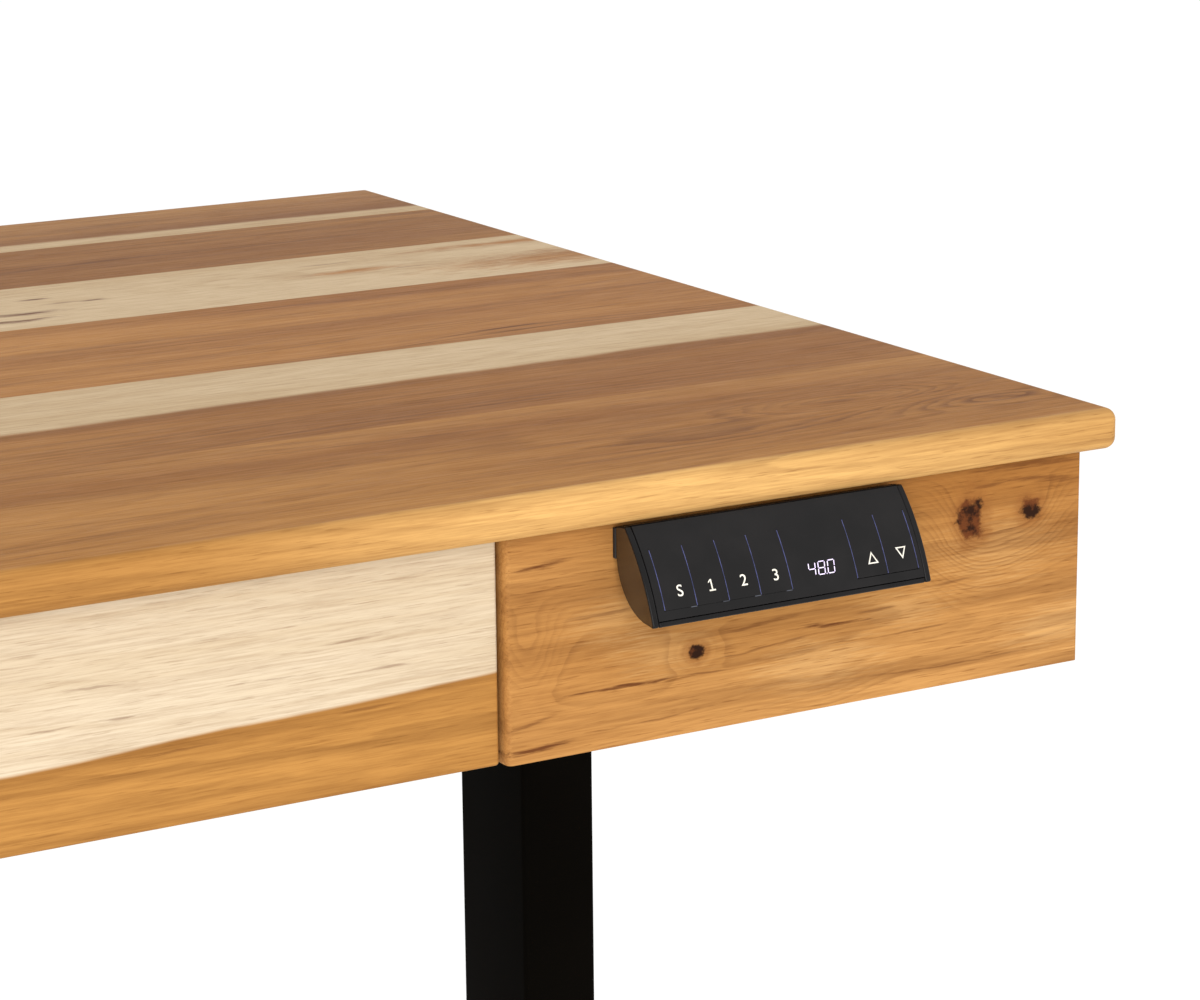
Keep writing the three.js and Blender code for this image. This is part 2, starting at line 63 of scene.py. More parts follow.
def setCamera():
    low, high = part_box("apron_front_right")
    corner = Vector((high.x, low.y, low.z))
    turn = Matrix.Rotation(math.radians(-cameraView["yaw"]), 3, "Z")
    tilt = Matrix.Rotation(math.radians(90 - cameraView["down"]), 3, "X")
    roll = Matrix.Rotation(math.radians(cameraView["roll"]), 3, "Z")
    bpy.ops.object.camera_add(
        location=corner + Vector(cameraView["fromCorner"]),
        rotation=(turn @ tilt @ roll).to_euler(),
    )
    camera = bpy.context.object
    camera.data.lens = cameraView["lens"]
    camera.data.sensor_width = 36
    camera.data.clip_end = 200
    bpy.context.scene.camera = camera


studio = {
    "skyStrength": 1.1,
    "keyPower": 100,
    "keySize": 2.4,
    "keyPlace": (-1.4, -3.7, 1.9),
    "keyTarget": (0.1, -0.3, 1.1),
    "rimPower": 5,
    "rimSize": 1.6,
    "rimPlace": (2.8, -1.6, 2.0),
    "floorSize": 120,
    "floorPaint": (0.93, 0.93, 0.93, 1),
}


def areaLight(name, place, target, size, power):
    aim = (Vector(target) - Vector(place)).to_track_quat("-Z", "Y").to_euler()
    bpy.ops.object.light_add(type="AREA", location=place, rotation=aim)
    light = bpy.context.object
    light.name = name
    light.data.size = size
    light.data.energy = power


def setStudio():
    scene = bpy.context.scene
    scene.view_settings.view_transform = "Standard"
    world = bpy.data.worlds.new("paleStudio")
    world.use_nodes = True
    sky = world.node_tree.nodes["Background"]
    sky.inputs["Color"].default_value = (1, 1, 1, 1)
    sky.inputs["Strength"].default_value = studio["skyStrength"]
    scene.world = world
    areaLight("keyLight", studio["keyPlace"], studio["keyTarget"], studio["keySize"], studio["keyPower"])
    areaLight("rimLight", studio["rimPlace"], studio["keyTarget"], studio["rimSize"], studio["rimPower"])
    bpy.ops.mesh.primitive_plane_add(size=studio["floorSize"])
    floor = bpy.context.object
    floor.name = "studio_floor"
    paint = bpy.data.materials.new("paleFloor")
    paint.use_nodes = True
    surface = paint.node_tree.nodes["Principled BSDF"]
    surface.inputs["Base Color"].default_value = studio["floorPaint"]
    surface.inputs["Roughness"].default_value = 0.9
    surface.inputs["Specular IOR Level"].default_value = 0.1
    floor.data.materials.append(paint)
    print("camera, light and floor set")


# short names for shader nodes

def node(tree, kind, inputs=None, **settings):
    made = tree.nodes.new("ShaderNode" + kind)
    for name, value in settings.items():
        setattr(made, name, value)
    for name, value in (inputs or {}).items():
        socket = made.inputs[name]
        if isinstance(value, bpy.types.NodeSocket):
            tree.links.new(value, socket)
        else:
            socket.default_value = value
    return made


def maths(tree, operation, first, second=0.0, third=0.0):
    return node(tree, "Math", {0: first, 1: second, 2: third}, operation=operation).outputs[0]


def vectors(tree, operation, first, second, wanted=0):
    return node(tree, "VectorMath", {0: first, 1: second}, operation=operation).outputs[wanted]


def ramp(tree, value, low, high, bottom=0.0, top=1.0):
    inputs = {"Value": value, "From Min": low, "From Max": high, "To Min": bottom, "To Max": top}
    return node(tree, "MapRange", inputs, interpolation_type="SMOOTHSTEP").outputs[0]


def mixColour(tree, amount, first, second, blend="MIX"):
    made = node(tree, "Mix", {0: amount}, data_type="RGBA", blend_type=blend)
    for place, value in ((6, first), (7, second)):
        if isinstance(value, bpy.types.NodeSocket):
            tree.links.new(value, made.inputs[place])
        else:
            made.inputs[place].default_value = (*value[:3], 1)
    return made.outputs[2]


def noise(tree, place, stretch, seed=0.0, detail=3, rough=0.5, wanted="Fac"):
    spread = node(tree, "Mapping", {"Vector": place, "Scale": stretch}).outputs[0]
    values = {"Vector": spread, "W": seed, "Scale": 1.0, "Detail": detail, "Roughness": rough}
    return node(tree, "TexNoise", values, noise_dimensions="4D").outputs[wanted]


def openGroup(name, inputs, outputs):
    group = bpy.data.node_groups.new(name, "ShaderNodeTree")
    for label, kind in inputs:
        group.interface.new_socket(name=label, in_out="INPUT", socket_type="NodeSocket" + kind)
    for label in outputs:
        group.interface.new_socket(name=label, in_out="OUTPUT", socket_type="NodeSocketFloat")
    source = group.nodes.new("NodeGroupInput").outputs
    target = group.nodes.new("NodeGroupOutput").inputs
    return group, source, target


def useGroup(tree, group, inputs):
    made = tree.nodes.new("ShaderNodeGroup")
    made.node_tree = group
    for name, value in inputs.items():
        if isinstance(value, bpy.types.NodeSocket):
            tree.links.new(value, made.inputs[name])
        else:
            made.inputs[name].default_value = value
    return made.outputs


def newMaterial(name):
    material = bpy.data.materials.new(name)
    material.use_nodes = True
    tree = material.node_tree
    return material, tree, tree.nodes["Principled BSDF"], node(tree, "TexCoord").outputs["Object"]


def bumpFrom(tree, surface, strength, distance, height):
    bump = node(tree, "Bump", {"Strength": strength, "Distance": distance, "Height": height})
    tree.links.new(bump.outputs[0], surface.inputs["Normal"])


# what every board is made of: growth rings round a trunk that runs along X, fibres and pores

def makeTrunkRings():
    group, source, target = openGroup(
        "trunkRings",
        [("Vector", "Vector"), ("Pith", "Vector"), ("Ring Width", "Float"), ("Wander", "Float"),
         ("Taper", "Float"), ("Swirl", "Float"), ("Seed", "Float")],
        ["Ring", "Streak", "Fibre", "Pore", "Cloud"],
    )
    place, seed = source["Vector"], source["Seed"]

    def grain(stretch, extra, detail=3, rough=0.5, wanted="Fac"):
        return noise(group, place, stretch, maths(group, "ADD", seed, extra), detail, rough, wanted)

    drift = vectors(group, "SUBTRACT", grain((2.4, 6, 6), 0.0, 2, 0.5, "Color"), (0.5, 0.5, 0.5))
    drift = node(group, "VectorMath", {0: drift, "Scale": source["Wander"]}, operation="SCALE").outputs[0]
    fromPith = vectors(group, "SUBTRACT", place, source["Pith"])
    parts = node(group, "SeparateXYZ", {0: vectors(group, "ADD", fromPith, drift)}).outputs
    square = maths(group, "MULTIPLY", parts["Z"], parts["Z"])
    square = maths(group, "MULTIPLY_ADD", parts["Y"], parts["Y"], square)
    radius = maths(group, "ADD", maths(group, "SQRT", square), source["Swirl"])
    radius = maths(group, "MULTIPLY_ADD", parts["X"], source["Taper"], radius)
    wobble = maths(group, "SUBTRACT", grain((14, 120, 120), 3.7), 0.5)
    count = maths(group, "DIVIDE", radius, source["Ring Width"])
    count = maths(group, "MULTIPLY_ADD", wobble, 1.7, count)
    within = maths(group, "FRACT", count)
    year = node(group, "TexWhiteNoise", {"W": maths(group, "FLOOR", count)}, noise_dimensions="1D")
    strength = ramp(group, year.outputs["Value"], 0, 1, 0.2, 1.0)
    rise, fall = ramp(group, within, 0.25, 0.85), ramp(group, within, 0.86, 0.99, 1.0, 0.0)
    ring = maths(group, "MULTIPLY", rise, fall)
    group.links.new(maths(group, "MULTIPLY", ring, strength), target["Ring"])
    group.links.new(grain((4.5, 130, 130), 21.3, 3, 0.6), target["Streak"])
    group.links.new(grain((34, 1100, 1100), 8.1, 4, 0.7), target["Fibre"])
    group.links.new(ramp(group, grain((70, 1500, 1500), 5.3, 2), 0.58, 0.72), target["Pore"])
    group.links.new(grain((1.6, 15, 15), 11.9), target["Cloud"])
    return group


def makeKnotSwirl():
    # how far the rings are pushed round a knot, its dark heart and the red-brown wood about it
    group, source, target = openGroup(
        "knotSwirl",
        [("Vector", "Vector"), ("Centre", "Vector"), ("Reach", "Vector"), ("Lift", "Float"),
         ("Heart", "Float")],
        ["Swirl", "Near", "Core", "Halo"],
    )
    place = source["Vector"]
    away = vectors(group, "SUBTRACT", place, source["Centre"])
    away = vectors(group, "DIVIDE", away, source["Reach"])
    reach = vectors(group, "LENGTH", away, (0, 0, 0), "Value")
    square = maths(group, "MULTIPLY", reach, reach)
    swell = maths(group, "POWER", 2.718, maths(group, "MULTIPLY", square, -1.0))
    group.links.new(swell, target["Near"])
    group.links.new(maths(group, "MULTIPLY", swell, source["Lift"]), target["Swirl"])
    ragged = maths(group, "SUBTRACT", noise(group, place, (110, 150, 150), 2.2, 5, 0.7), 0.5)
    reach = maths(group, "MULTIPLY_ADD", maths(group, "MULTIPLY", ragged, source["Heart"]), 2.6, reach)
    inside = maths(group, "SUBTRACT", source["Heart"], reach)
    group.links.new(ramp(group, inside, -0.06, 0.10), target["Core"])
    group.links.new(ramp(group, inside, -0.40, 0.02), target["Halo"])
    return group


def makeMineralStreak():
    # a long thin dark mark that follows the grain
    group, source, target = openGroup(
        "mineralStreak",
        [("Vector", "Vector"), ("Centre", "Vector"), ("Reach", "Vector"), ("Slope", "Float")],
        ["Mark"],
    )
    place = source["Vector"]
    parts = node(group, "SeparateXYZ", {0: vectors(group, "SUBTRACT", place, source["Centre"])}).outputs
    bend = maths(group, "MULTIPLY_ADD", noise(group, place, (26, 3, 3)), 0.005, -0.0025)
    across = maths(group, "MULTIPLY_ADD", parts["X"], source["Slope"], parts["Y"])
    across = maths(group, "ADD", across, bend)
    flat = node(group, "CombineXYZ", {"X": parts["X"], "Y": across}).outputs[0]
    reach = vectors(group, "LENGTH", vectors(group, "DIVIDE", flat, source["Reach"]), (0, 0, 0), "Value")
    grit = noise(group, place, (60, 1000, 1000), 1.0, 4, 0.65)
    reach = maths(group, "MULTIPLY_ADD", grit, 2.0, reach)
    group.links.new(ramp(group, reach, 1.05, 1.75, 1.0, 0.0), target["Mark"])
    return group


woodTones = {
    "heartLight": (0.440, 0.205, 0.052),
    "heartMid": (0.290, 0.115, 0.023),
    "heartDark": (0.150, 0.053, 0.012),
    "sapLight": (0.560, 0.420, 0.255),
    "sapMid": (0.450, 0.310, 0.160),
    "sapDark": (0.34, 0.20, 0.08),
    "knotRed": (0.115, 0.034, 0.010),
    "knotDark": (0.022, 0.008, 0.004),
    "halo": (0.22, 0.080, 0.020),
    "streak": (0.110, 0.034, 0.010),
    "pore": (0.42, 0.30, 0.22),
    "cream": (1.24, 1.46, 1.85),
}

# how strongly each effect shows, where a board doesn't say so itself
woodLook = {
    "figure": 0.3, "nearFigure": 0.6, "mostFigure": 0.85, "streaky": 0.34, "sapStreaky": 0.16,
    "sapFigure": 0.6, "seam": 0.35, "stain": 0.95, "fibre": 0.36, "pores": 0.4, "pale": 0.6,
    # the front-edge multiplier below lightens the rounded front edge for its pale sapwood and a painted
    # highlight together
    "streakDepth": 0.55, "crack": 0.95, "halo": 0.6, "paleSapAndHighlightEdge": (1.65, 2.1, 3.0),
    "specular": 0.04, "bump": 0.25, "bumpDepth": 0.0003,
}

# turns a standing board's own directions into along, across and through
turnFor = {"flat": (0, 0, 0), "front": (-90, 0, 0), "side": (-90, -90, 0)}


def boardMark(tree, place, board, mark):
    # where one streak, crack, stain or pale patch shows
    centre, reach, slope = mark
    values = {"Vector": place, "Centre": (*centre, board["face"]), "Reach": (*reach, 1.0), "Slope": slope}
    return useGroup(tree, mineralStreak, values)["Mark"]


def woodMaterial(name, board):
    material, tree, surface, place = newMaterial(name)
    tone, look = woodTones, woodLook
    turn = [math.radians(angle) for angle in turnFor[board["lies"]]]
    place = node(tree, "Mapping", {"Vector": place, "Rotation": turn}).outputs[0]
    swirl, near, core, halo = 0.0, board.get("figure", look["figure"]), 0.0, 0.0
    for centre, reach, lift, heart in board["knots"]:
        knot = useGroup(tree, knotSwirl, {
            "Vector": place, "Centre": (*centre, board["face"]), "Reach": (*reach, 0.03),
            "Lift": lift, "Heart": heart})
        swirl = maths(tree, "ADD", knot["Swirl"], swirl)
        near = maths(tree, "MULTIPLY_ADD", knot["Near"], board.get("nearFigure", look["nearFigure"]), near)
        if heart:
            core = maths(tree, "MAXIMUM", knot["Core"], core)
            halo = maths(tree, "MAXIMUM", knot["Halo"], halo)
    rings = useGroup(tree, trunkRings, {
        "Vector": place, "Pith": (0, *board["pith"]), "Ring Width": board["ring"],
        "Wander": board["wander"], "Taper": board["taper"], "Swirl": swirl, "Seed": board["seed"]})
    broken = ramp(tree, rings["Streak"], 0.25, 0.6, 0.35, 1.0)
    ring = maths(tree, "MULTIPLY", rings["Ring"], maths(tree, "MINIMUM", near, look["mostFigure"]))
    ring = maths(tree, "MULTIPLY", ring, broken)
    streak = ramp(tree, rings["Streak"], 0.42, 0.72)

    heart = mixColour(tree, ramp(tree, rings["Cloud"], 0.34, 0.68), tone["heartLight"], tone["heartMid"])
    streaky = maths(tree, "MULTIPLY", streak, board.get("streaky", look["streaky"]))
    heart = mixColour(tree, streaky, heart, tone["heartDark"])
    heart = mixColour(tree, ring, heart, tone["heartDark"])
    # the board's heartwood tint; on the two back desktop planks it also paints shade, darker towards the back
    heart = mixColour(tree, 1.0, heart, board.get("heartTintAndShade", (1, 1, 1)), "MULTIPLY")
    sap = mixColour(tree, ramp(tree, rings["Cloud"], 0.4, 0.8), tone["sapLight"], tone["sapMid"])
    sap = mixColour(tree, maths(tree, "MULTIPLY", streak, look["sapStreaky"]), sap, tone["sapMid"])
    sap = mixColour(tree, maths(tree, "MULTIPLY", ring, look["sapFigure"]), sap, tone["sapDark"])
    sap = mixColour(tree, 1.0, sap, board.get("sapTint", (1, 1, 1)), "MULTIPLY")
    sapAmount = 1.0 if board.get("sap") else 0.0
    if "sapLine" in board:
        sapAmount, seamLine = sapEdge(tree, place, board["sapLine"])
        heart = mixColour(tree, maths(tree, "MULTIPLY", seamLine, look["seam"]), heart, tone["heartDark"])
    for mark in board.get("stains", []):
        stain = maths(tree, "MULTIPLY", boardMark(tree, place, board, mark), -look["stain"])
        sapAmount = maths(tree, "MULTIPLY_ADD", stain, sapAmount, sapAmount)
    colour = mixColour(tree, sapAmount, heart, sap)
    fibre = ramp(tree, rings["Fibre"], 0.35, 0.7)
    colour = mixColour(tree, maths(tree, "MULTIPLY", fibre, look["fibre"]), colour, tone["pore"], "MULTIPLY")
    pores = maths(tree, "MULTIPLY", rings["Pore"], board.get("pores", look["pores"]))
    colour = mixColour(tree, pores, colour, tone["pore"], "MULTIPLY")
    # the rounded front edge made paler: its sapwood, and a painted highlight where light catches the round
    if "paleSapAndHighlightEdge" in board:
        front = paleSapAndHighlightEdge(tree, place, board["paleSapAndHighlightEdge"])
        colour = mixColour(tree, front, colour, look["paleSapAndHighlightEdge"], "MULTIPLY")
    for mark in board.get("pale", []):
        amount = maths(tree, "MULTIPLY", boardMark(tree, place, board, mark), look["pale"])
        colour = mixColour(tree, amount, colour, tone["cream"], "MULTIPLY")
    streakDepth = board.get("streakDepth", look["streakDepth"])
    for marks, depth in (("streaks", streakDepth), ("cracks", look["crack"])):
        for mark in board.get(marks, []):
            amount = maths(tree, "MULTIPLY", boardMark(tree, place, board, mark), depth)
            colour = mixColour(tree, amount, colour, tone["streak"])
    if core:
        split = ramp(tree, noise(tree, place, (150, 170, 170), board["seed"], 4, 0.6), 0.42, 0.58)
        knotColour = mixColour(tree, split, tone["knotDark"], tone["knotRed"])
        colour = mixColour(tree, maths(tree, "MULTIPLY", halo, look["halo"]), colour, tone["halo"])
        colour = mixColour(tree, core, colour, knotColour)
    tree.links.new(colour, surface.inputs["Base Color"])

    tree.links.new(ramp(tree, rings["Fibre"], 0.3, 0.7, 0.42, 0.56), surface.inputs["Roughness"])
    height = maths(tree, "MULTIPLY_ADD", rings["Pore"], -1.0, maths(tree, "MULTIPLY", rings["Fibre"], -0.5))
    height = maths(tree, "MULTIPLY_ADD", rings["Ring"], -0.3, height)
    height = maths(tree, "MULTIPLY_ADD", core, -1.5, height)
    bumpFrom(tree, surface, look["bump"], look["bumpDepth"], height)
    surface.inputs["Specular IOR Level"].default_value = look["specular"]
    return material


def sapEdge(tree, place, line):
    # 1 on the sapwood side of a wandering line, and a thin dark line where the two meet
    parts = node(tree, "SeparateXYZ", {0: place}).outputs
    wave = maths(tree, "SUBTRACT", noise(tree, place, (5, 1, 1), line.get("seed", 0.0), 4), 0.5)
    past = maths(tree, "MULTIPLY_ADD", wave, line["wave"], maths(tree, "SUBTRACT", parts["Y"], line["at"]))
    past = maths(tree, "MULTIPLY_ADD", parts["X"], -line["slope"], past)
    past = maths(tree, "MULTIPLY", past, line["side"])
    soft = line["soft"]
    inside = ramp(tree, past, -soft, soft)
    rise, fall = ramp(tree, past, -5 * soft, -soft), ramp(tree, past, -soft, soft, 1.0, 0.0)
    return inside, maths(tree, "MULTIPLY", rise, fall)


def paleSapAndHighlightEdge(tree, place, edge):
    # the sapwood that shows on the rounded front edge, and a painted highlight of the light on the round;
    # weak at the left end, full towards the right
    parts = node(tree, "SeparateXYZ", {0: place}).outputs
    front = ramp(tree, parts["Y"], edge["at"] + 0.0035, edge["at"] + 0.0075, 1.0, 0.0)
    along = ramp(tree, parts["X"], *edge["from"], edge["left"], 1.0)
    return maths(tree, "MULTIPLY", front, along)


# modelling by hand, in code

def deselectAll():
    bpy.ops.object.select_all(action="DESELECT")


def activate(piece):
    deselectAll()
    piece.select_set(True)
    bpy.context.view_layer.objects.active = piece


def settle(piece):
    activate(piece)
    bpy.ops.object.transform_apply(location=True, rotation=True, scale=True)


def cube(name, low, high):
    low, high = Vector(low), Vector(high)
    deselectAll()
    bpy.ops.mesh.primitive_cube_add(size=1, location=(low + high) / 2, scale=high - low)
    piece = bpy.context.object
    piece.name = name
    settle(piece)
    return piece


def rod(name, centre, radius, length, axis="Z", sides=32):
    turn = {"X": (0, math.pi / 2, 0), "Y": (-math.pi / 2, 0, 0), "Z": (0, 0, 0)}[axis]
    deselectAll()
    bpy.ops.mesh.primitive_cylinder_add(
        vertices=sides, radius=radius, depth=length, location=centre, rotation=turn)
    piece = bpy.context.object
    piece.name = name
    settle(piece)
    return piece


def pickEdges(piece, test):
    activate(piece)
    mesh = piece.data
    for part in (mesh.vertices, mesh.edges, mesh.polygons):
        part.foreach_set("select", [False] * len(part))
    for edge in mesh.edges:
        first, second = (mesh.vertices[v].co for v in edge.vertices)
        edge.select = test((first + second) / 2, (second - first).normalized())
    bpy.ops.object.mode_set(mode="EDIT")
    bpy.ops.mesh.select_mode(type="EDGE")


def pickFaces(piece, test):
    activate(piece)
    mesh = piece.data
    for part in (mesh.vertices, mesh.edges, mesh.polygons):
        part.foreach_set("select", [False] * len(part))
    for face in mesh.polygons:
        face.select = test(face.center, face.normal)
    bpy.ops.object.mode_set(mode="EDIT")
    bpy.ops.mesh.select_mode(type="FACE")


def editAll(piece):
    activate(piece)
    bpy.ops.object.mode_set(mode="EDIT")
    bpy.ops.mesh.select_all(action="SELECT")


def leaveEdit():
    bpy.ops.object.mode_set(mode="OBJECT")


def bevelEdges(piece, test, width, segments):
    pickEdges(piece, test)
    bpy.ops.mesh.bevel(offset=width, segments=segments, affect="EDGES")
    leaveEdit()


def smooth(piece, angle=40):
    activate(piece)
    bpy.ops.object.shade_smooth_by_angle(angle=math.radians(angle))


def ease(piece, width, segments=3, angle=35):
    # rounds every sharp edge by a small radius, and keeps the flat faces flat when smoothed
    smooth(piece, angle)
    bevel = piece.modifiers.new("ease", "BEVEL")
    bevel.width = width
    bevel.segments = segments
    bevel.limit_method = "ANGLE"
    bevel.angle_limit = math.radians(angle)
    bevel.use_clamp_overlap = True
    bevel.harden_normals = True
    bpy.ops.object.modifier_apply(modifier="ease")


def cutAway(piece, cutter):
    activate(piece)
    cut = piece.modifiers.new("cut", "BOOLEAN")
    cut.operation = "DIFFERENCE"
    cut.solver = "EXACT"
    cut.object = cutter
    bpy.ops.object.modifier_apply(modifier="cut")
    bpy.data.objects.remove(cutter)


def join(pieces):
    deselectAll()
    for piece in pieces:
        piece.select_set(True)
    bpy.context.view_layer.objects.active = pieces[0]
    bpy.ops.object.join()
    return pieces[0]


def refined(cadNode, name):
    # a working copy of a CAD node's mesh, with its triangles welded and flat faces made whole
    piece = frame["nodes"][cadNode].copy()
    piece.data = piece.data.copy()
    piece.parent = None
    for key in list(piece.keys()):
        del piece[key]
    bpy.context.scene.collection.objects.link(piece)
    piece.name = name
    editAll(piece)
    bpy.ops.mesh.remove_doubles(threshold=1e-5)
    bpy.ops.mesh.dissolve_limited(angle_limit=math.radians(1))
    leaveEdit()
    return piece


def finishPiece(piece, cadNode, material, replaces=True):
    if material is not None:
        piece.data.materials.clear()
        piece.data.materials.append(material)
    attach(piece, bodyOf[cadNode])
    if replaces:
        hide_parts(cadNode)
    return piece


def easedPiece(cadNode, name, width, look, segments=3, angle=35):
    # the CAD node's own shape with its edges rounded
    piece = refined(cadNode, name)
    ease(piece, width, segments, angle)
    return finishPiece(piece, cadNode, finish[look])


# desktop: planks from the front edge backwards, each with where it ends, its trunk and its marks

desktop = {
    "edgeRound": 5.6 * mm, "edgeSteps": 8,
    "planks": [
        {"end": 0.148, "pith": (0.09, -0.11), "seed": 3.1, "ring": 0.0042, "wander": 0.03, "taper": 0.05,
         "figure": 0.30, "nearFigure": 0.9, "heartTintAndShade": (0.94, 0.94, 0.92),
         "knots": [((0.512, 0.085), (0.050, 0.018), -0.028, 0.0),
                   ((0.572, 0.052), (0.045, 0.014), 0.016, 0.0),
                   ((0.440, 0.055), (0.08, 0.020), -0.010, 0.0), ((-0.25, 0.09), (0.09, 0.02), -0.014, 0.0)],
         "streaks": [((0.578, 0.050), (0.045, 0.0065), 0.35), ((0.507, 0.083), (0.030, 0.0050), 0.1),
                     ((0.548, 0.062), (0.035, 0.0030), -0.2), ((0.530, 0.092), (0.030, 0.0030), 0.1),
                     ((0.300, 0.122), (0.16, 0.0016), 0.06), ((0.560, 0.075), (0.030, 0.002), -0.1)],
         # the front edge is made paler for its sapwood and a painted highlight, growing towards the right end
         "paleSapAndHighlightEdge": {"at": 0.0, "from": (0.12, 0.34), "left": 0.15}},
        {"end": 0.298, "pith": (0.30, -0.12), "seed": 7.7, "ring": 0.0036, "wander": 0.03, "taper": 0.02,
         "figure": 0.28, "heartTintAndShade": (0.94, 0.94, 0.92),
         "sapLine": {"at": 0.222, "slope": 0.024, "wave": 0.022, "soft": 0.0035, "side": 1},
         "knots": [((0.40, 0.17), (0.20, 0.03), 0.010, 0.0)]},
        {"end": 0.449, "pith": (0.43, -0.10), "seed": 12.4, "ring": 0.0040, "wander": 0.05, "taper": 0.03,
         "figure": 0.30, "heartTintAndShade": (0.96, 0.94, 0.92),
         "knots": [((0.252, 0.2925), (0.010, 0.0055), 0.006, 0.45), ((0.47, 0.32), (0.12, 0.02), 0.008, 0.0)],
         "cracks": [((0.465, 0.318), (0.045, 0.0032), -0.03), ((0.252, 0.2925), (0.012, 0.0040), 0.0)],
         "streaks": [((0.42, 0.430), (0.08, 0.0025), 0.06),
                     ((0.0, 0.40), (0.10, 0.003), 0.02), ((0.33, 0.35), (0.05, 0.002), 0.02)]},
        {"end": 0.559, "pith": (0.50, -0.14), "seed": 21.9, "ring": 0.0050, "wander": 0.04, "taper": 0.03,
         "figure": 0.2,
         "sap": True, "stains": [((0.606, 0.484), (0.170, 0.040), 0.0), ((0.60, 0.540), (0.15, 0.012), 0.0),
                                 ((0.470, 0.505), (0.060, 0.010), 0.0)],
         "knots": [((0.464, 0.510), (0.08, 0.022), 0.012, 0.0)],
         "cracks": [((0.270, 0.487), (0.038, 0.0070), 0.0), ((0.262, 0.470), (0.038, 0.0060), 0.0),
                    ((0.290, 0.522), (0.018, 0.0035), 0.0), ((0.318, 0.503), (0.016, 0.0040), 0.0)],
         "streaks": [((0.468, 0.532), (0.030, 0.0026), 0.0), ((0.235, 0.50), (0.03, 0.003), 0.0),
                     ((0.300, 0.505), (0.018, 0.0040), 0.0), ((0.500, 0.500), (0.020, 0.002), 0.0)]},
        # the two back planks are tinted 0.84 darker: painted shade, the light falling off towards the back of
        # the top
        {"end": 0.668, "pith": (0.70, -0.11), "seed": 33.3, "ring": 0.0036, "wander": 0.03, "taper": 0.02,
         "figure": 0.28, "heartTintAndShade": (0.84, 0.84, 0.82),
         "knots": [((0.35, 0.62), (0.20, 0.02), 0.008, 0.0)]},
        {"end": 0.762, "pith": (0.72, -0.12), "seed": 41.2, "ring": 0.0038, "wander": 0.03, "taper": 0.02,
         "figure": 0.28, "heartTintAndShade": (0.84, 0.84, 0.82),
         "sapLine": {"at": 0.685, "slope": 0.002, "wave": 0.006, "soft": 0.004, "side": -1},
         "knots": [((0.2, 0.73), (0.2, 0.02), 0.008, 0.0)]},
    ],
}


def makeDesktop():
    low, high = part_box("desktop")
    top = cube("solid_wood_top", low, high)
    bevelEdges(top, lambda middle, way: True, desktop["edgeRound"], desktop["edgeSteps"])
    planks = desktop["planks"]
    for plank in planks[:-1]:
        editAll(top)
        bpy.ops.mesh.bisect(plane_co=(0, low.y + plank["end"], 0), plane_no=(0, 1, 0))
        leaveEdit()
    for number, plank in enumerate(planks):
        board = placedBoard(plank, low.y, high.z, "flat")
        top.data.materials.append(woodMaterial(f"topPlank{number + 1}", board))
    for face in top.data.polygons:
        face.material_index = sum(face.center.y > low.y + plank["end"] for plank in planks[:-1])
    smooth(top, 30)
    finishPiece(top, "desktop", None)
    print("desktop made of", len(planks), "planks")


def placedBoard(board, edge, face, lies):
    # a board's marks are measured from its own edge; this gives them their place on the desk
    placed = dict(board, face=face, lies=lies)
    placed["pith"] = (edge + board["pith"][0], face + board["pith"][1])
    placed["knots"] = [((x, edge + y), *rest) for (x, y), *rest in board["knots"]]
    for marks in ("streaks", "cracks", "stains", "pale"):
        placed[marks] = [((x, edge + y), *rest) for (x, y), *rest in board.get(marks, [])]
    for line in ("sapLine", "paleSapAndHighlightEdge"):
        if line in board:
            placed[line] = dict(board[line], at=edge + board[line]["at"])
    return placed


# apron boards and drawer front: along X, and up from the board's lower edge

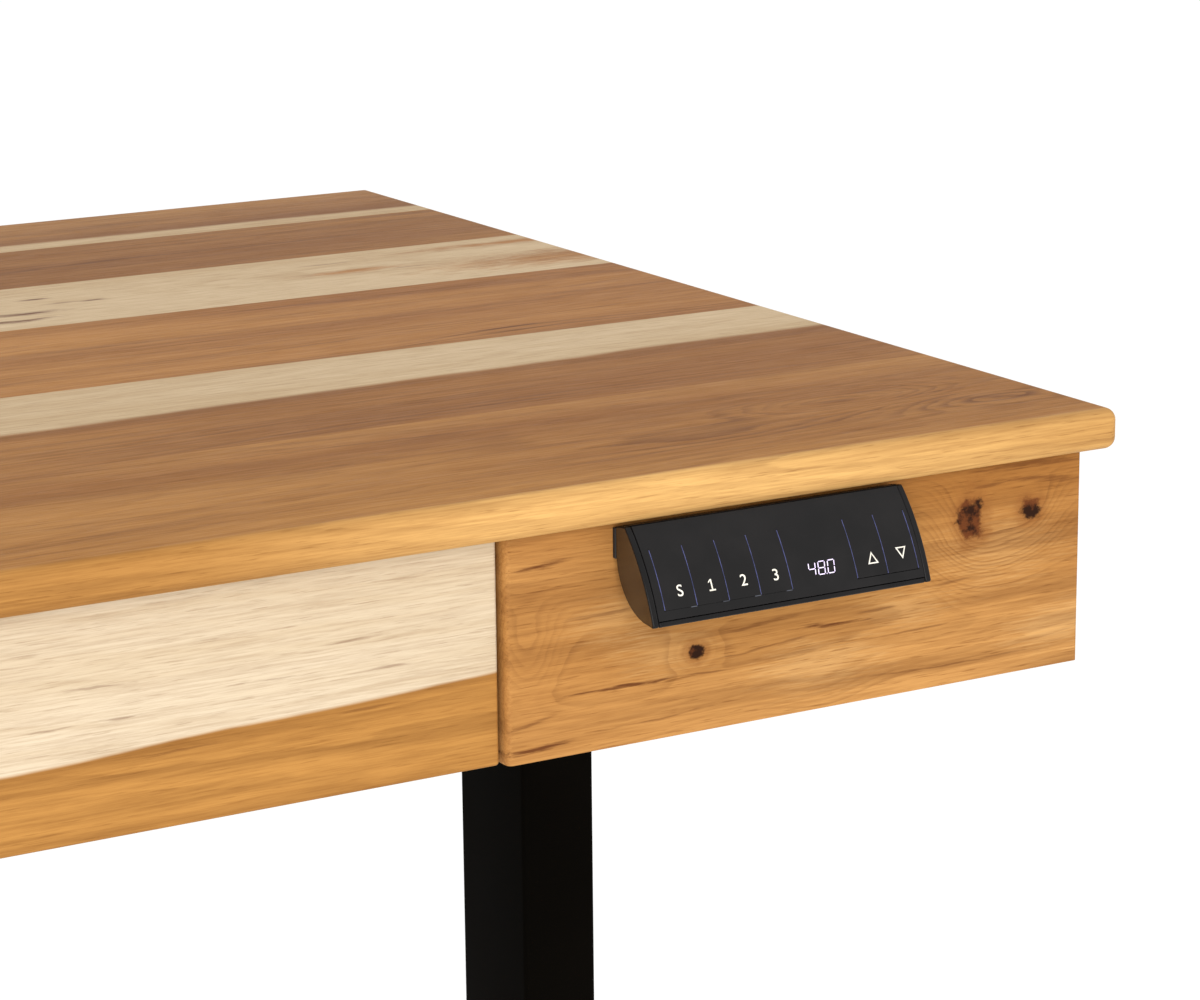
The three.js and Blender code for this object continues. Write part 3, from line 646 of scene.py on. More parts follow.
apronBoards = {
    "front_right": {
        "pith": (0.04, 0.03), "seed": 52.6, "ring": 0.0022, "wander": 0.05, "taper": 0.04, "figure": 0.3,
        "nearFigure": 0.3, "pores": 0.5, "round": 3.0 * mm, "heartTintAndShade": (1.17, 1.26, 1.54),
        "streaky": 0.5,
        "pale": [((0.5555, 0.060), (0.060, 0.030), 0.0), ((0.375, 0.041), (0.050, 0.020), 0.1),
                 ((0.453, 0.020), (0.060, 0.022), 0.05), ((0.350, 0.057), (0.040, 0.020), 0.0),
                 ((0.500, 0.040), (0.040, 0.016), 0.1), ((0.585, 0.020), (0.050, 0.018), -0.1)],
        "knots": [((0.5365, 0.0765), (0.021, 0.027), 0.014, 0.34),
                  ((0.5695, 0.0765), (0.018, 0.016), 0.012, 0.30),
                  ((0.552, 0.058), (0.034, 0.020), 0.016, 0.0),
                  ((0.390, 0.0365), (0.012, 0.010), 0.008, 0.34),
                  ((0.306, 0.048), (0.016, 0.022), 0.014, 0.0),
                  ((0.457, 0.006), (0.030, 0.018), -0.006, 0.0)],
        "cracks": [((0.353, 0.0272), (0.048, 0.0016), -0.01), ((0.313, 0.0865), (0.022, 0.0026), -0.08),
                   # the last mark here darkens a thin line low along the bottom edge near the panel's left
                   # end
                   ((0.461, 0.0378), (0.034, 0.0018), 0.03), ((0.310, 0.0060), (0.030, 0.0024), -0.05)],
        "streaks": [((0.395, 0.0262), (0.030, 0.0010), 0.03),
                    ((0.345, 0.0605), (0.034, 0.0018), 0.0),
                    ((0.420, 0.0435), (0.050, 0.0016), -0.05),
                    ((0.485, 0.0412), (0.020, 0.0014), -0.05), ((0.5265, 0.0485), (0.030, 0.0016), 0.0),
                    ((0.310, 0.0180), (0.024, 0.0018), -0.2),
                    ((0.566, 0.0975), (0.060, 0.0040), 0.04), ((0.545, 0.0905), (0.020, 0.0014), 0.0),
                    ((0.430, 0.0330), (0.060, 0.0012), -0.06), ((0.500, 0.0290), (0.050, 0.0010), -0.04),
                    ((0.520, 0.0100), (0.090, 0.0010), 0.02), ((0.370, 0.0100), (0.060, 0.0010), -0.03),
                    ((0.578, 0.0890), (0.040, 0.0030), 0.08)]},
    "front_left": {
        "pith": (0.05, 0.11), "seed": 58.1, "ring": 0.0024, "wander": 0.04, "taper": -0.02,
        "pores": 0.5, "round": 3.0 * mm, "heartTintAndShade": (1.18, 1.30, 1.56),
        "knots": [((-0.43, 0.045), (0.02, 0.018), 0.012, 0.34), ((-0.35, 0.07), (0.04, 0.02), 0.014, 0.0)],
        "streaks": [((-0.50, 0.03), (0.04, 0.002), 0.03), ((-0.38, 0.02), (0.03, 0.002), -0.02)]},
    "back": {
        "pith": (0.05, 0.12), "seed": 71.3, "ring": 0.0034, "wander": 0.05, "taper": 0.02,
        "heartTintAndShade": (1.1, 1.2, 1.4),
        "knots": [((-0.22, 0.05), (0.02, 0.016), 0.012, 0.34), ((0.36, 0.03), (0.05, 0.02), 0.016, 0.0)],
        "streaks": [((0.1, 0.07), (0.06, 0.002), 0.02), ((0.4, 0.04), (0.05, 0.002), 0.0)]},
    "side": {
        "pith": (0.05, 0.12), "seed": 77.9, "ring": 0.0034, "wander": 0.05, "taper": 0.02,
        "heartTintAndShade": (1.1, 1.2, 1.4),
        "knots": [((0.1, 0.06), (0.02, 0.016), 0.012, 0.32)],
        "streaks": [((-0.2, 0.04), (0.05, 0.002), 0.0)]},
}

drawerFace = {
    "pith": (-0.03, 0.14), "seed": 64.4, "ring": 0.0050, "wander": 0.025, "taper": 0.01, "figure": 0.35,
    "pores": 0.3, "heartTintAndShade": (1.00, 1.03, 1.04), "sapTint": (1.07, 1.17, 1.38), "round": 1.6 * mm,
    "sapLine": {"at": 0.0325, "slope": 0.025, "wave": 0.010, "soft": 0.0010, "side": 1, "seed": 4.0},
    "knots": [],
    "streakDepth": 0.42,
    "streaks": [((0.115, 0.064), (0.030, 0.0012), 0.0), ((0.122, 0.050), (0.022, 0.0011), 0.0),
                ((0.227, 0.066), (0.026, 0.0010), 0.0), ((0.245, 0.052), (0.030, 0.0010), 0.0),
                ((0.094, 0.049), (0.016, 0.0010), 0.0), ((0.151, 0.032), (0.040, 0.0014), -0.02),
                ((0.232, 0.036), (0.028, 0.0014), -0.02), ((-0.12, 0.06), (0.03, 0.0011), 0.0),
                ((-0.2, 0.045), (0.03, 0.0011), 0.0), ((0.19, 0.055), (0.028, 0.0010), 0.0)],
}

plainBoard = {  # drawer box and the partitions beside it
    "pith": (0.02, -0.10), "seed": 90.2, "ring": 0.0050, "wander": 0.03, "taper": 0.01, "sap": True,
    "figure": 0.5, "pores": 0.3, "knots": [], "streaks": [], "sapTint": (0.85, 0.83, 0.8),
}


apronEdges = {"front": 0.5 * mm, "side": 0.6 * mm, "back": 0.8 * mm}


def makeApron():
    boards = apronBoards
    for label in ("left", "right"):
        board = boards[f"front_{label}"]
        low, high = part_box(f"apron_front_{label}")
        inner = low.x if label == "right" else high.x
        panel = cube(f"front_panel_{label}", low, high)
        bevelEdges(
            panel,
            lambda middle, way: abs(way.z) > 0.9 and abs(middle.x - inner) < 1e-5 and middle.y < low.y + 1e-5,
            board["round"], 5)
        ease(panel, apronEdges["front"], 2, 50)
        wood = woodMaterial(f"frontPanel_{label}", placedBoard(board, low.z, -low.y, "front"))
        finishPiece(panel, f"apron_front_{label}", wood)
        low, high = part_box(f"apron_side_{label}")
        side = cube(f"side_board_{label}", low, high)
        ease(side, apronEdges["side"])
        wood = woodMaterial(f"sideBoard_{label}", placedBoard(boards["side"], low.z, high.x, "side"))
        finishPiece(side, f"apron_side_{label}", wood)
    low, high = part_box("apron_back")
    back = cube("back_board", low, high)
    ease(back, apronEdges["back"])
    wood = woodMaterial("backBoard", placedBoard(boards["back"], low.z, -high.y, "front"))
    finishPiece(back, "apron_back", wood)
    print("apron made")


drawerBox = {"edgeRound": 1.2 * mm, "bottomRound": 0.5 * mm, "seedStep": 30}


def makeDrawer():
    low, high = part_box("drawer_front")
    front = cube("drawer_face", low, high)
    ease(front, drawerFace["round"], 4)
    wood = woodMaterial("drawerFace", placedBoard(drawerFace, low.z, -low.y, "front"))
    finishPiece(front, "drawer_front", wood)
    for cadNode, lies in (
            ("drawer_side_left", "side"), ("drawer_side_right", "side"), ("drawer_back", "front"),
            ("drawer_partition_left", "side"), ("drawer_partition_right", "side"), ("drawer_bottom", "flat")):
        low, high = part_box(cadNode)
        board = refined(cadNode, cadNode + "_board")
        ease(board, drawerBox["bottomRound" if lies == "flat" else "edgeRound"])
        face = {"flat": high.z, "front": -high.y, "side": high.x}[lies]
        edge = low.y if lies == "flat" else low.z
        own = dict(plainBoard, seed=plainBoard["seed"] + high.x * drawerBox["seedStep"])
        finishPiece(board, cadNode, woodMaterial(cadNode + "_wood", placedBoard(own, edge, face, lies)))
    print("drawer made")


# metal, plastic and rubber finishes

def makeWearGroup():
    # fine grit, long smudges and thin scratches that all the metal and plastic finishes share
    group, source, target = openGroup(
        "surfaceWear",
        [("Vector", "Vector"), ("Grit Scale", "Float"), ("Smudge Scale", "Float")],
        ["Grit", "Smudge", "Scratch"],
    )
    place = source["Vector"]
    grit = node(group, "TexNoise", {"Vector": place, "Scale": source["Grit Scale"], "Detail": 3.0})
    group.links.new(grit.outputs["Fac"], target["Grit"])
    smudge = node(group, "TexNoise", {"Vector": place, "Scale": source["Smudge Scale"], "Detail": 4.0})
    group.links.new(ramp(group, smudge.outputs["Fac"], 0.35, 0.7), target["Smudge"])
    scratch = noise(group, place, (40, 900, 300), 3.3, 2)
    group.links.new(ramp(group, scratch, 0.66, 0.74), target["Scratch"])
    return group


finishes = {
    "powderCoat": {"colour": (0.0035, 0.003, 0.0026), "worn": (0.006, 0.0055, 0.005), "metallic": 0,
                   "rough": (0.42, 0.55), "specular": 0.03, "grit": 900, "smudge": 9, "bump": 0.18},
    "innerTubeCoat": {"colour": (0.0022, 0.0018, 0.0013), "worn": (0.0032, 0.0025, 0.0018), "metallic": 0,
                      "rough": (0.45, 0.55), "specular": 0.004, "grit": 900, "smudge": 9, "bump": 0.12},
    "zincSteel": {"colour": (0.56, 0.57, 0.58), "worn": (0.40, 0.41, 0.42), "metallic": 1,
                  "rough": (0.26, 0.42), "specular": 0.5, "grit": 500, "smudge": 30, "bump": 0.06},
    "screwSteel": {"colour": (0.40, 0.41, 0.42), "worn": (0.20, 0.20, 0.19), "metallic": 1,
                   "rough": (0.20, 0.40), "specular": 0.5, "grit": 700, "smudge": 45, "bump": 0.05},
    "castAluminium": {"colour": (0.50, 0.51, 0.52), "worn": (0.38, 0.39, 0.40), "metallic": 1,
                      "rough": (0.45, 0.62), "specular": 0.5, "grit": 1300, "smudge": 22, "bump": 0.3},
    "blackPlastic": {"colour": (0.012, 0.012, 0.013), "worn": (0.02, 0.02, 0.021), "metallic": 0,
                     "rough": (0.5, 0.62), "specular": 0.3, "grit": 1700, "smudge": 14, "bump": 0.25},
    "glossBlack": {"colour": (0.010, 0.0095, 0.0095), "worn": (0.013, 0.012, 0.012), "metallic": 0,
                   "rough": (0.14, 0.24), "specular": 0.12, "grit": 2500, "smudge": 40, "bump": 0.015},
    "housingBlack": {"colour": (0.006, 0.0055, 0.0055), "worn": (0.009, 0.008, 0.008), "metallic": 0,
                     "rough": (0.22, 0.34), "specular": 0.15, "grit": 2500, "smudge": 40, "bump": 0.02},
    # the end caps' flat: smoked plastic whose brown is mostly a painted reflection of the wooden apron, with
    # some translucent tint of its own
    "smokedPlastic": {"colour": (0.034, 0.020, 0.011), "worn": (0.048, 0.030, 0.017), "metallic": 0,
                      "rough": (0.10, 0.20), "specular": 0.55, "grit": 2500, "smudge": 60, "bump": 0.02},
    "rubber": {"colour": (0.016, 0.016, 0.016), "worn": (0.03, 0.03, 0.029), "metallic": 0,
               "rough": (0.72, 0.88), "specular": 0.25, "grit": 1200, "smudge": 60, "bump": 0.3},
    "boltBlack": {"colour": (0.008, 0.008, 0.008), "worn": (0.02, 0.019, 0.018), "metallic": 0,
                  "rough": (0.32, 0.5), "specular": 0.35, "grit": 1500, "smudge": 90, "bump": 0.1},
    "labelInk": {"colour": (0.80, 0.76, 0.66), "worn": (0.70, 0.66, 0.57), "metallic": 0,
                 "rough": (0.4, 0.5), "specular": 0.3, "grit": 2500, "smudge": 300, "bump": 0.02},
    "grooveBlue": {"colour": (0.075, 0.080, 0.20), "worn": (0.030, 0.034, 0.09), "metallic": 0,
                   "rough": (0.2, 0.3), "specular": 0.4, "grit": 2500, "smudge": 220, "bump": 0.02},
    # grey of the slits at the number keys' feet: a painted highlight on the slit's edge
    "slitGrey": {"colour": (0.06, 0.065, 0.08), "worn": (0.02, 0.022, 0.03), "metallic": 0,
                 "rough": (0.2, 0.3), "specular": 0.5, "grit": 2500, "smudge": 400, "bump": 0.02},
}


wearLook = {"scratch": 0.35, "grit": 0.4, "smudge": 0.6, "bumpDepth": 0.0002}


def finishMaterial(name):
    material, tree, surface, place = newMaterial(name)
    values = finishes[name]
    wear = useGroup(tree, surfaceWear, {
        "Vector": place, "Grit Scale": values["grit"], "Smudge Scale": values["smudge"]})
    colour = mixColour(tree, wear["Smudge"], values["colour"], values["worn"])
    scratch = maths(tree, "MULTIPLY", wear["Scratch"], wearLook["scratch"])
    colour = mixColour(tree, scratch, colour, values["worn"])
    tree.links.new(colour, surface.inputs["Base Color"])
    smudge = maths(tree, "MULTIPLY", wear["Smudge"], wearLook["smudge"])
    rough = maths(tree, "MULTIPLY_ADD", wear["Grit"], wearLook["grit"], smudge)
    tree.links.new(ramp(tree, rough, 0.1, 0.8, *values["rough"]), surface.inputs["Roughness"])
    bumpFrom(tree, surface, values["bump"], wearLook["bumpDepth"], wear["Grit"])
    surface.inputs["Metallic"].default_value = values["metallic"]
    surface.inputs["Specular IOR Level"].default_value = values["specular"]
    return material


def circuitMaterial():
    # green solder mask with copper tracks under it
    material, tree, surface, place = newMaterial("circuitBoard")
    tracks = node(tree, "TexBrick", {"Vector": place, "Scale": 260.0, "Mortar Size": 0.08})
    colour = mixColour(tree, tracks.outputs["Fac"], (0.012, 0.10, 0.035), (0.03, 0.22, 0.08))
    tree.links.new(colour, surface.inputs["Base Color"])
    tree.links.new(ramp(tree, tracks.outputs["Fac"], 0, 1, 0.3, 0.4), surface.inputs["Roughness"])
    bumpFrom(tree, surface, 0.2, 0.0001, tracks.outputs["Fac"])
    return material


def digitMaterial():
    # lit display segments
    material, tree, surface, place = newMaterial("litSegment")
    dots = node(tree, "TexVoronoi", {"Vector": place, "Scale": 2100.0})
    glow = ramp(tree, dots.outputs["Distance"], 0.2, 0.8, 1.0, 0.55)
    colour = mixColour(tree, glow, (0.35, 0.27, 0.45), (0.80, 0.70, 0.92))
    tree.links.new(colour, surface.inputs["Base Color"])
    tree.links.new(colour, surface.inputs["Emission Color"])
    tree.links.new(ramp(tree, dots.outputs["Distance"], 0, 1, 0.3, 0.5), surface.inputs["Roughness"])
    surface.inputs["Emission Strength"].default_value = 0.55
    return material


# columns, feet and frame

columns = {
    "innerCorner": 3.5 * mm, "innerWall": 2.0 * mm,
    "threadLead": 12 * mm, "threadStarts": 2, "coreRadius": 6.6 * mm, "rootRadius": 6.7 * mm,
    "crestRadius": 7.95 * mm, "threadTurns": 46,
    "smallBolt": (4.6 * mm, 2.6 * mm), "tinyBolt": (3.4 * mm, 1.8 * mm),  # head radius and height
    "railScrews": (0.06, 0.35, 0.65, 0.94), "railMiddle": 1.5 * mm, "railDrop": 3.05 * mm,
    "baseBolts": (26 * mm, 7.6 * mm, 6.2 * mm),  # across, in from the tube's faces, up
    "bracketBolts": (8 * mm, 4 * mm, 16 * mm),  # in from the sides, in from the ears, down
}


def makeInnerTube(label):
    cadNode = f"upper_tube_{label}"
    low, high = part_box(cadNode)
    tube = cube(f"inner_tube_{label}", low, high)
    bevelEdges(tube, lambda middle, way: abs(way.z) > 0.9, columns["innerCorner"], 6)
    pickFaces(tube, lambda middle, normal: abs(normal.z) > 0.9)
    bpy.ops.mesh.inset(thickness=columns["innerWall"], use_individual=True)
    bpy.ops.mesh.bridge_edge_loops()
    bpy.ops.mesh.select_all(action="SELECT")
    bpy.ops.mesh.normals_make_consistent(inside=False)
    leaveEdit()
    bevelEdges(tube, lambda middle, way: abs(way.z) < 0.1 and (
        middle.z > high.z - 1e-5 or middle.z < low.z + 1e-5), 0.4 * mm, 2)
    smooth(tube)
    finishPiece(tube, cadNode, finish["innerTubeCoat"])


def makeLeadScrew(label):
    # a two-start trapezoidal thread wound round a plain core
    cadNode = f"lead_screw_{label}"
    low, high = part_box(cadNode)
    x, y = (low.x + high.x) / 2, (low.y + high.y) / 2
    values = columns
    core = rod(f"lead_screw_core_{label}", (x, y, (low.z + high.z) / 2), values["coreRadius"], high.z - low.z)
    ease(core, 1.0 * mm)
    pitch = values["threadLead"] / values["threadStarts"]
    root, crest = values["rootRadius"], values["crestRadius"]
    profile = []
    for start in range(values["threadStarts"]):
        base = start * pitch
        profile += [(root, base), (root, base + 0.30 * pitch), (crest, base + 0.42 * pitch),
                    (crest, base + 0.88 * pitch)]
    profile.append((root, values["threadLead"]))
    mesh = bpy.data.meshes.new("threadProfile")
    edges = [(step, step + 1) for step in range(len(profile) - 1)]
    mesh.from_pydata([(radius, 0, height) for radius, height in profile], edges, [])
    thread = bpy.data.objects.new(f"lead_screw_thread_{label}", mesh)
    bpy.context.scene.collection.objects.link(thread)
    activate(thread)
    wind = thread.modifiers.new("wind", "SCREW")
    wind.steps = 24
    wind.render_steps = 24
    wind.iterations = values["threadTurns"]
    wind.screw_offset = values["threadLead"]
    wind.use_merge_vertices = True
    wind.merge_threshold = 1e-6
    bpy.ops.object.modifier_apply(modifier="wind")
    spare = (high.z - low.z - values["threadTurns"] * values["threadLead"] - values["threadLead"]) / 2
    thread.location = (x, y, low.z + spare)
    settle(thread)
    editAll(thread)
    bpy.ops.mesh.remove_doubles(threshold=1e-6)
    bpy.ops.mesh.normals_make_consistent(inside=False)
    leaveEdit()
    screw = join([core, thread])
    screw.name = f"trapezoidal_screw_{label}"
    smooth(screw, 30)
    finishPiece(screw, cadNode, finish["screwSteel"])


def makeBolt(headRadius, headHeight):
    # a button head with a hexagon socket, head upwards, its seat at the origin
    bolt = rod("boltPattern", (0, 0, headHeight / 2), headRadius, headHeight, sides=28)
    bevelEdges(bolt, lambda middle, way: middle.z > headHeight * 0.99, headHeight * 0.55, 4)
    socket = rod("socketCutter", (0, 0, headHeight), headRadius * 0.48, headHeight * 1.1, sides=6)
    cutAway(bolt, socket)
    smooth(bolt, 30)
    return bolt


boltAim = {
    "up": (0, 0, 0), "down": (math.pi, 0, 0), "front": (math.pi / 2, 0, 0), "back": (-math.pi / 2, 0, 0),
    "left": (0, -math.pi / 2, 0), "right": (0, math.pi / 2, 0),
}


def boltSet(name, pattern, places, aim, cadNode, material):
    # copies of one bolt, joined as one piece that rides with the node they hold
    made = []
    for place in places:
        copy = pattern.copy()
        copy.data = pattern.data.copy()
        bpy.context.scene.collection.objects.link(copy)
        copy.rotation_euler = boltAim[aim]
        copy.location = place
        settle(copy)
        made.append(copy)
    piece = join(made)
    piece.name = name
    finishPiece(piece, cadNode, material, replaces=False)


def makeColumns():
    small = makeBolt(*columns["smallBolt"])
    tiny = makeBolt(*columns["tinyBolt"])
    for label in ("left", "right"):
        makeInnerTube(label)
        makeLeadScrew(label)
        for cadNode, name, width in (
                (f"lower_tube_{label}", f"outer_tube_{label}", 0.5 * mm),
                (f"guide_collar_{label}", f"sliding_collar_{label}", 0.8 * mm),
                (f"foot_{label}", f"floor_foot_{label}", 1.0 * mm),
                (f"nut_tube_{label}", f"nut_tube_{label}_turned", 0.6 * mm),
                (f"head_bracket_{label}", f"column_bracket_{label}", 0.7 * mm),
                (f"side_rail_{label}", f"angle_rail_{label}", 0.6 * mm)):
            easedPiece(cadNode, name, width, {
                "black_powder_coat": "powderCoat", "black_plastic": "blackPlastic",
                "cast_aluminium": "castAluminium"}[slotOf[cadNode]])
        low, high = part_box(f"lower_tube_{label}")
        x = (low.x + high.x) / 2
        across, inset, up = columns["baseBolts"]
        places = [(x + way * across, y, low.z + up)
                  for way in (-1, 1) for y in (low.y + inset, high.y - inset)]
        boltSet(f"base_bolts_{label}", small, places, "up", f"foot_{label}", finish["boltBlack"])
        low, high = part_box(f"head_bracket_{label}")
        across, inset, down = columns["bracketBolts"]
        for aim, y in (("back", low.y + inset), ("front", high.y - inset)):
            places = [(x, y, high.z - down) for x in (low.x + across, high.x - across)]
            name = f"bracket_bolts_{aim}_{label}"
            boltSet(name, small, places, aim, f"head_bracket_{label}", finish["boltBlack"])
        low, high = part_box(f"side_rail_{label}")
        x = (low.x + high.x) / 2 + columns["railMiddle"] * (1 if label == "right" else -1)
        z = high.z - columns["railDrop"]
        places = [(x, low.y + (high.y - low.y) * part, z) for part in columns["railScrews"]]
        boltSet(f"rail_screws_{label}", tiny, places, "down", f"side_rail_{label}", finish["zincSteel"])
    for label in ("front", "rear"):
        easedPiece(f"crossbeam_{label}", f"box_beam_{label}", 0.6 * mm, "powderCoat")
    bpy.data.objects.remove(small)
    print("columns, feet and frame made")
    return tiny


def makeGlides():
    for cadNode in [name for name in slotOf if name.startswith("glide_")]:
        easedPiece(cadNode, "levelling_" + cadNode, 0.7 * mm, "rubber")
    print("levelling glides made")


# motors, gearboxes, runners and the control box

drives = {"sideInset": 8 * mm, "screwUp": 16 * mm, "screwDown": 8 * mm, "motorScrew": 10 * mm}


def makeDrives(tiny):
    for label in ("left", "right"):
        easedPiece(f"gearbox_{label}", f"gear_housing_{label}", 2.0 * mm, "castAluminium", 4)
        easedPiece(f"motor_{label}", f"motor_can_{label}", 0.8 * mm, "powderCoat")
        low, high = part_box(f"gearbox_{label}")
        places = [(x, low.y, z) for x in (low.x + drives["sideInset"], high.x - drives["sideInset"])
                  for z in (low.z + drives["screwUp"], high.z - drives["screwDown"])]
        boltSet(f"gearbox_screws_{label}", tiny, places, "front", f"gearbox_{label}", finish["zincSteel"])
        low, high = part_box(f"motor_{label}")
        end = low.x if label == "right" else high.x
        y, z = (low.y + high.y) / 2, (low.z + high.z) / 2
        places = [(end, y + way * drives["motorScrew"], z) for way in (-1, 1)]
        aim = "left" if label == "right" else "right"
        boltSet(f"motor_screws_{label}", tiny, places, aim, f"motor_{label}", finish["zincSteel"])
    print("motors and gearboxes made")


def makeRunners():
    for label in ("left", "right"):
        for member in ("fixed", "middle", "drawer"):
            easedPiece(f"runner_{member}_{label}", f"slide_{member}_{label}", 0.35 * mm, "zincSteel", 2)
    print("drawer runners made")


controlBox = {"ventCount": 14, "ventPitch": 7 * mm, "ventSlot": (2.4, 26, 4),
              "screwInset": (9 * mm, 15 * mm)}


def makeControlBox(tiny):
    low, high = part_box("control_box_cover")
    cover = refined("control_box_cover", "control_box_shell")
    values = controlBox
    width, length, depth = (size * mm for size in values["ventSlot"])
    middle = (low + high) / 2
    slots = []
    for number in range(values["ventCount"]):
        x = middle.x + (number - (values["ventCount"] - 1) / 2) * values["ventPitch"]
        corner = Vector((x - width / 2, middle.y - length / 2, low.z - depth / 2))
        slots.append(cube("ventSlot", corner, corner + Vector((width, length, depth * 2))))
    cutAway(cover, join(slots))
    ease(cover, 0.8 * mm, 3, 50)
    finishPiece(cover, "control_box_cover", finish["blackPlastic"])
    easedPiece("control_box_base", "control_box_plate", 0.8 * mm, "blackPlastic")
    easedPiece("mains_socket", "mains_inlet", 0.4 * mm, "blackPlastic")
    low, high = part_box("control_box_base")
    inX, inY = values["screwInset"]
    places = [(x, y, low.z) for x in (low.x + inX, high.x - inX) for y in (low.y + inY, high.y - inY)]
    boltSet("control_box_screws", tiny, places, "down", "control_box_base", finish["zincSteel"])
    print("control box made")


# hand control: its face leans back, x runs from its middle and along runs down the face

handset = {
    "faceTop": (-10.5, 100.3), "faceLength": 43, "lean": 31.5, "crown": 2.3, "keyPitch": 16, "keyGap": 0.5,
    "keyTop": 12, "keyBottom": 39, "rowStart": -64, "arrowStart": 33.6,
    "labelHeight": 7.1, "labelAlong": 33.9, "labelThick": 0.05,
    "labels": {"key_s": ("S", -54.9), "key_1": ("1", -39.1), "key_2": ("2", -23.1), "key_3": ("3", -6.9)},
    "one": {"tall": 5.1, "line": 0.62, "foot": 1.55, "flag": 1.45, "flagDrop": 1.0},
    "arrows": {"key_up": (43.1, 1), "key_down": (58.6, -1)}, "arrowRadius": 3.75, "arrowAlong": 31.05,
    "arrowWide": 0.84, "arrowTall": 0.95,
    "arrowLine": 0.55, "digitWidth": 3.3, "digitHeight": 5.6, "digitPitch": 4.9, "digitStart": 9.6,
    "digitAlong": 29.0, "digitLine": 0.42, "digitLean": 0.14,
    "text": "480", "pointAfter": 1,
    "groove": {"half": 0.14, "inset": 0.2, "deep": 0.30, "high": 0.012, "steps": 6},
    "slit": {"long": 3.2, "gap": 0.15, "below": 0.28, "above": 0.06, "deep": 0.25, "high": 0.015},
    "film": {"lap": 0.15, "deep": 0.2, "high": 0.008, "footDrop": 0.3, "footLap": 0.1, "footDeep": 0.3},
}

# which bars of a seven-bar digit are lit: top, upper right, lower right, foot, lower left, upper left, middle
litBars = {"4": "0110011", "8": "1111111", "0": "1111110"}


def facePlace(x, along, lift):
    # a point over the crowned face, from millimetres on it
    values = handset
    low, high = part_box("handset_plate")
    panelLow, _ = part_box("apron_front_right")
    lean = math.radians(values["lean"])
    centred = 2 * along / values["faceLength"] - 1
    out = lift + values["crown"] * (1 - centred * centred)
    y = values["faceTop"][0] - math.sin(lean) * along - math.cos(lean) * out
    z = values["faceTop"][1] - math.cos(lean) * along + math.sin(lean) * out
    return Vector(((low.x + high.x) / 2 + x * mm, panelLow.y + y * mm, panelLow.z + z * mm))


def layOnFace(piece, x, along):
    # lays a flat piece, drawn in millimetres, on the face with its origin at x and along
    for vertex in piece.data.vertices:
        place = vertex.co.copy()
        vertex.co = facePlace(x + place.x, along - place.y, place.z)
    editAll(piece)
    bpy.ops.mesh.normals_make_consistent(inside=False)
    leaveEdit()
    smooth(piece, 30)


def drawnOne():
    # a figure one with a foot and a sloping flag
    one, half = handset["one"], handset["labelThick"] / 2
    line = one["line"]
    flag = cube("flag", (-one["flag"], one["tall"] - line, -half), (-line / 2, one["tall"], half))
    for vertex in flag.data.vertices:
        if vertex.co.x < -line:
            vertex.co.y -= one["flagDrop"]
    stem = cube("stem", (-line / 2, line, -half), (line / 2, one["tall"], half))
    return join([stem, flag, cube("foot", (-one["foot"], 0, -half), (one["foot"], line, half))])


def makeLabel(cadNode, text, x):
    if text == "1":
        label = drawnOne()
    else:
        deselectAll()
        bpy.ops.object.text_add()
        label = bpy.context.object
        label.data.body = text
        label.data.size = handset["labelHeight"]
        label.data.align_x = "CENTER"
        label.data.extrude = handset["labelThick"] / 2
        label.data.offset = 0.02
        bpy.ops.object.convert(target="MESH")
    label.name = "label_" + cadNode
    for vertex in label.data.vertices:
        vertex.co.z += handset["labelThick"] / 2 + 0.01
    bpy.ops.object.mode_set(mode="EDIT")
    bpy.ops.mesh.select_all(action="SELECT")
    bpy.ops.mesh.remove_doubles(threshold=0.0005)
    leaveEdit()
    layOnFace(label, x, handset["labelAlong"])
    finishPiece(label, cadNode, finish["labelInk"], replaces=False)


def makeArrow(cadNode, x, way):
    values = handset
    deselectAll()
    bpy.ops.mesh.primitive_circle_add(vertices=3, radius=values["arrowRadius"], fill_type="NGON")
    arrow = bpy.context.object
    arrow.name = "label_" + cadNode
    arrow.scale = (values["arrowWide"], values["arrowTall"] * way, 1)
    settle(arrow)
    for vertex in arrow.data.vertices:
        vertex.co.y -= way * values["arrowRadius"] * values["arrowTall"] / 4
    pickFaces(arrow, lambda middle, normal: True)
    bpy.ops.mesh.inset(thickness=values["arrowLine"])
    bpy.ops.mesh.delete(type="FACE")
    bpy.ops.mesh.select_all(action="SELECT")
    bpy.ops.mesh.normals_make_consistent(inside=False)
    bpy.ops.mesh.extrude_region_move(TRANSFORM_OT_translate={"value": (0, 0, values["labelThick"])})
    leaveEdit()
    layOnFace(arrow, x, values["arrowAlong"])
    finishPiece(arrow, cadNode, finish["labelInk"], replaces=False)


def makeDisplay():
    values = handset
    width, height, line = values["digitWidth"], values["digitHeight"], values["digitLine"]
    half = height / 2
    bars = [(0, height, width, 0), (width, half, 0, half), (width, 0, 0, half), (0, 0, width, 0),
            (0, 0, 0, half), (0, half, 0, half), (0, half, width, 0)]
    made = []
    for place, digit in enumerate(values["text"]):
        shift = place * values["digitPitch"]
        for lit, (x, y, dx, dy) in zip(litBars[digit], bars):
            if lit == "1":
                gap = line * 0.65
                inX, inY = (gap if dx else -line / 2), (gap if dy else -line / 2)
                made.append(cube("bar", (shift + x + inX, y + inY, 0.01),
                                 (shift + x + dx - inX, y + dy - inY, 0.06)))
        if place == values["pointAfter"]:
            dot = shift + width + values["digitPitch"] * 0.16
            made.append(cube("bar", (dot - line / 2, -line / 2, 0.01), (dot + line / 2, line / 2, 0.06)))
    display = join(made)
    display.name = "display_digits"
    for vertex in display.data.vertices:
        vertex.co.x += vertex.co.y * values["digitLean"]
    activate(display)
    layOnFace(display, values["digitStart"], values["digitAlong"] + height)
    finishPiece(display, "handset_fascia", digitMaterial(), replaces=False)


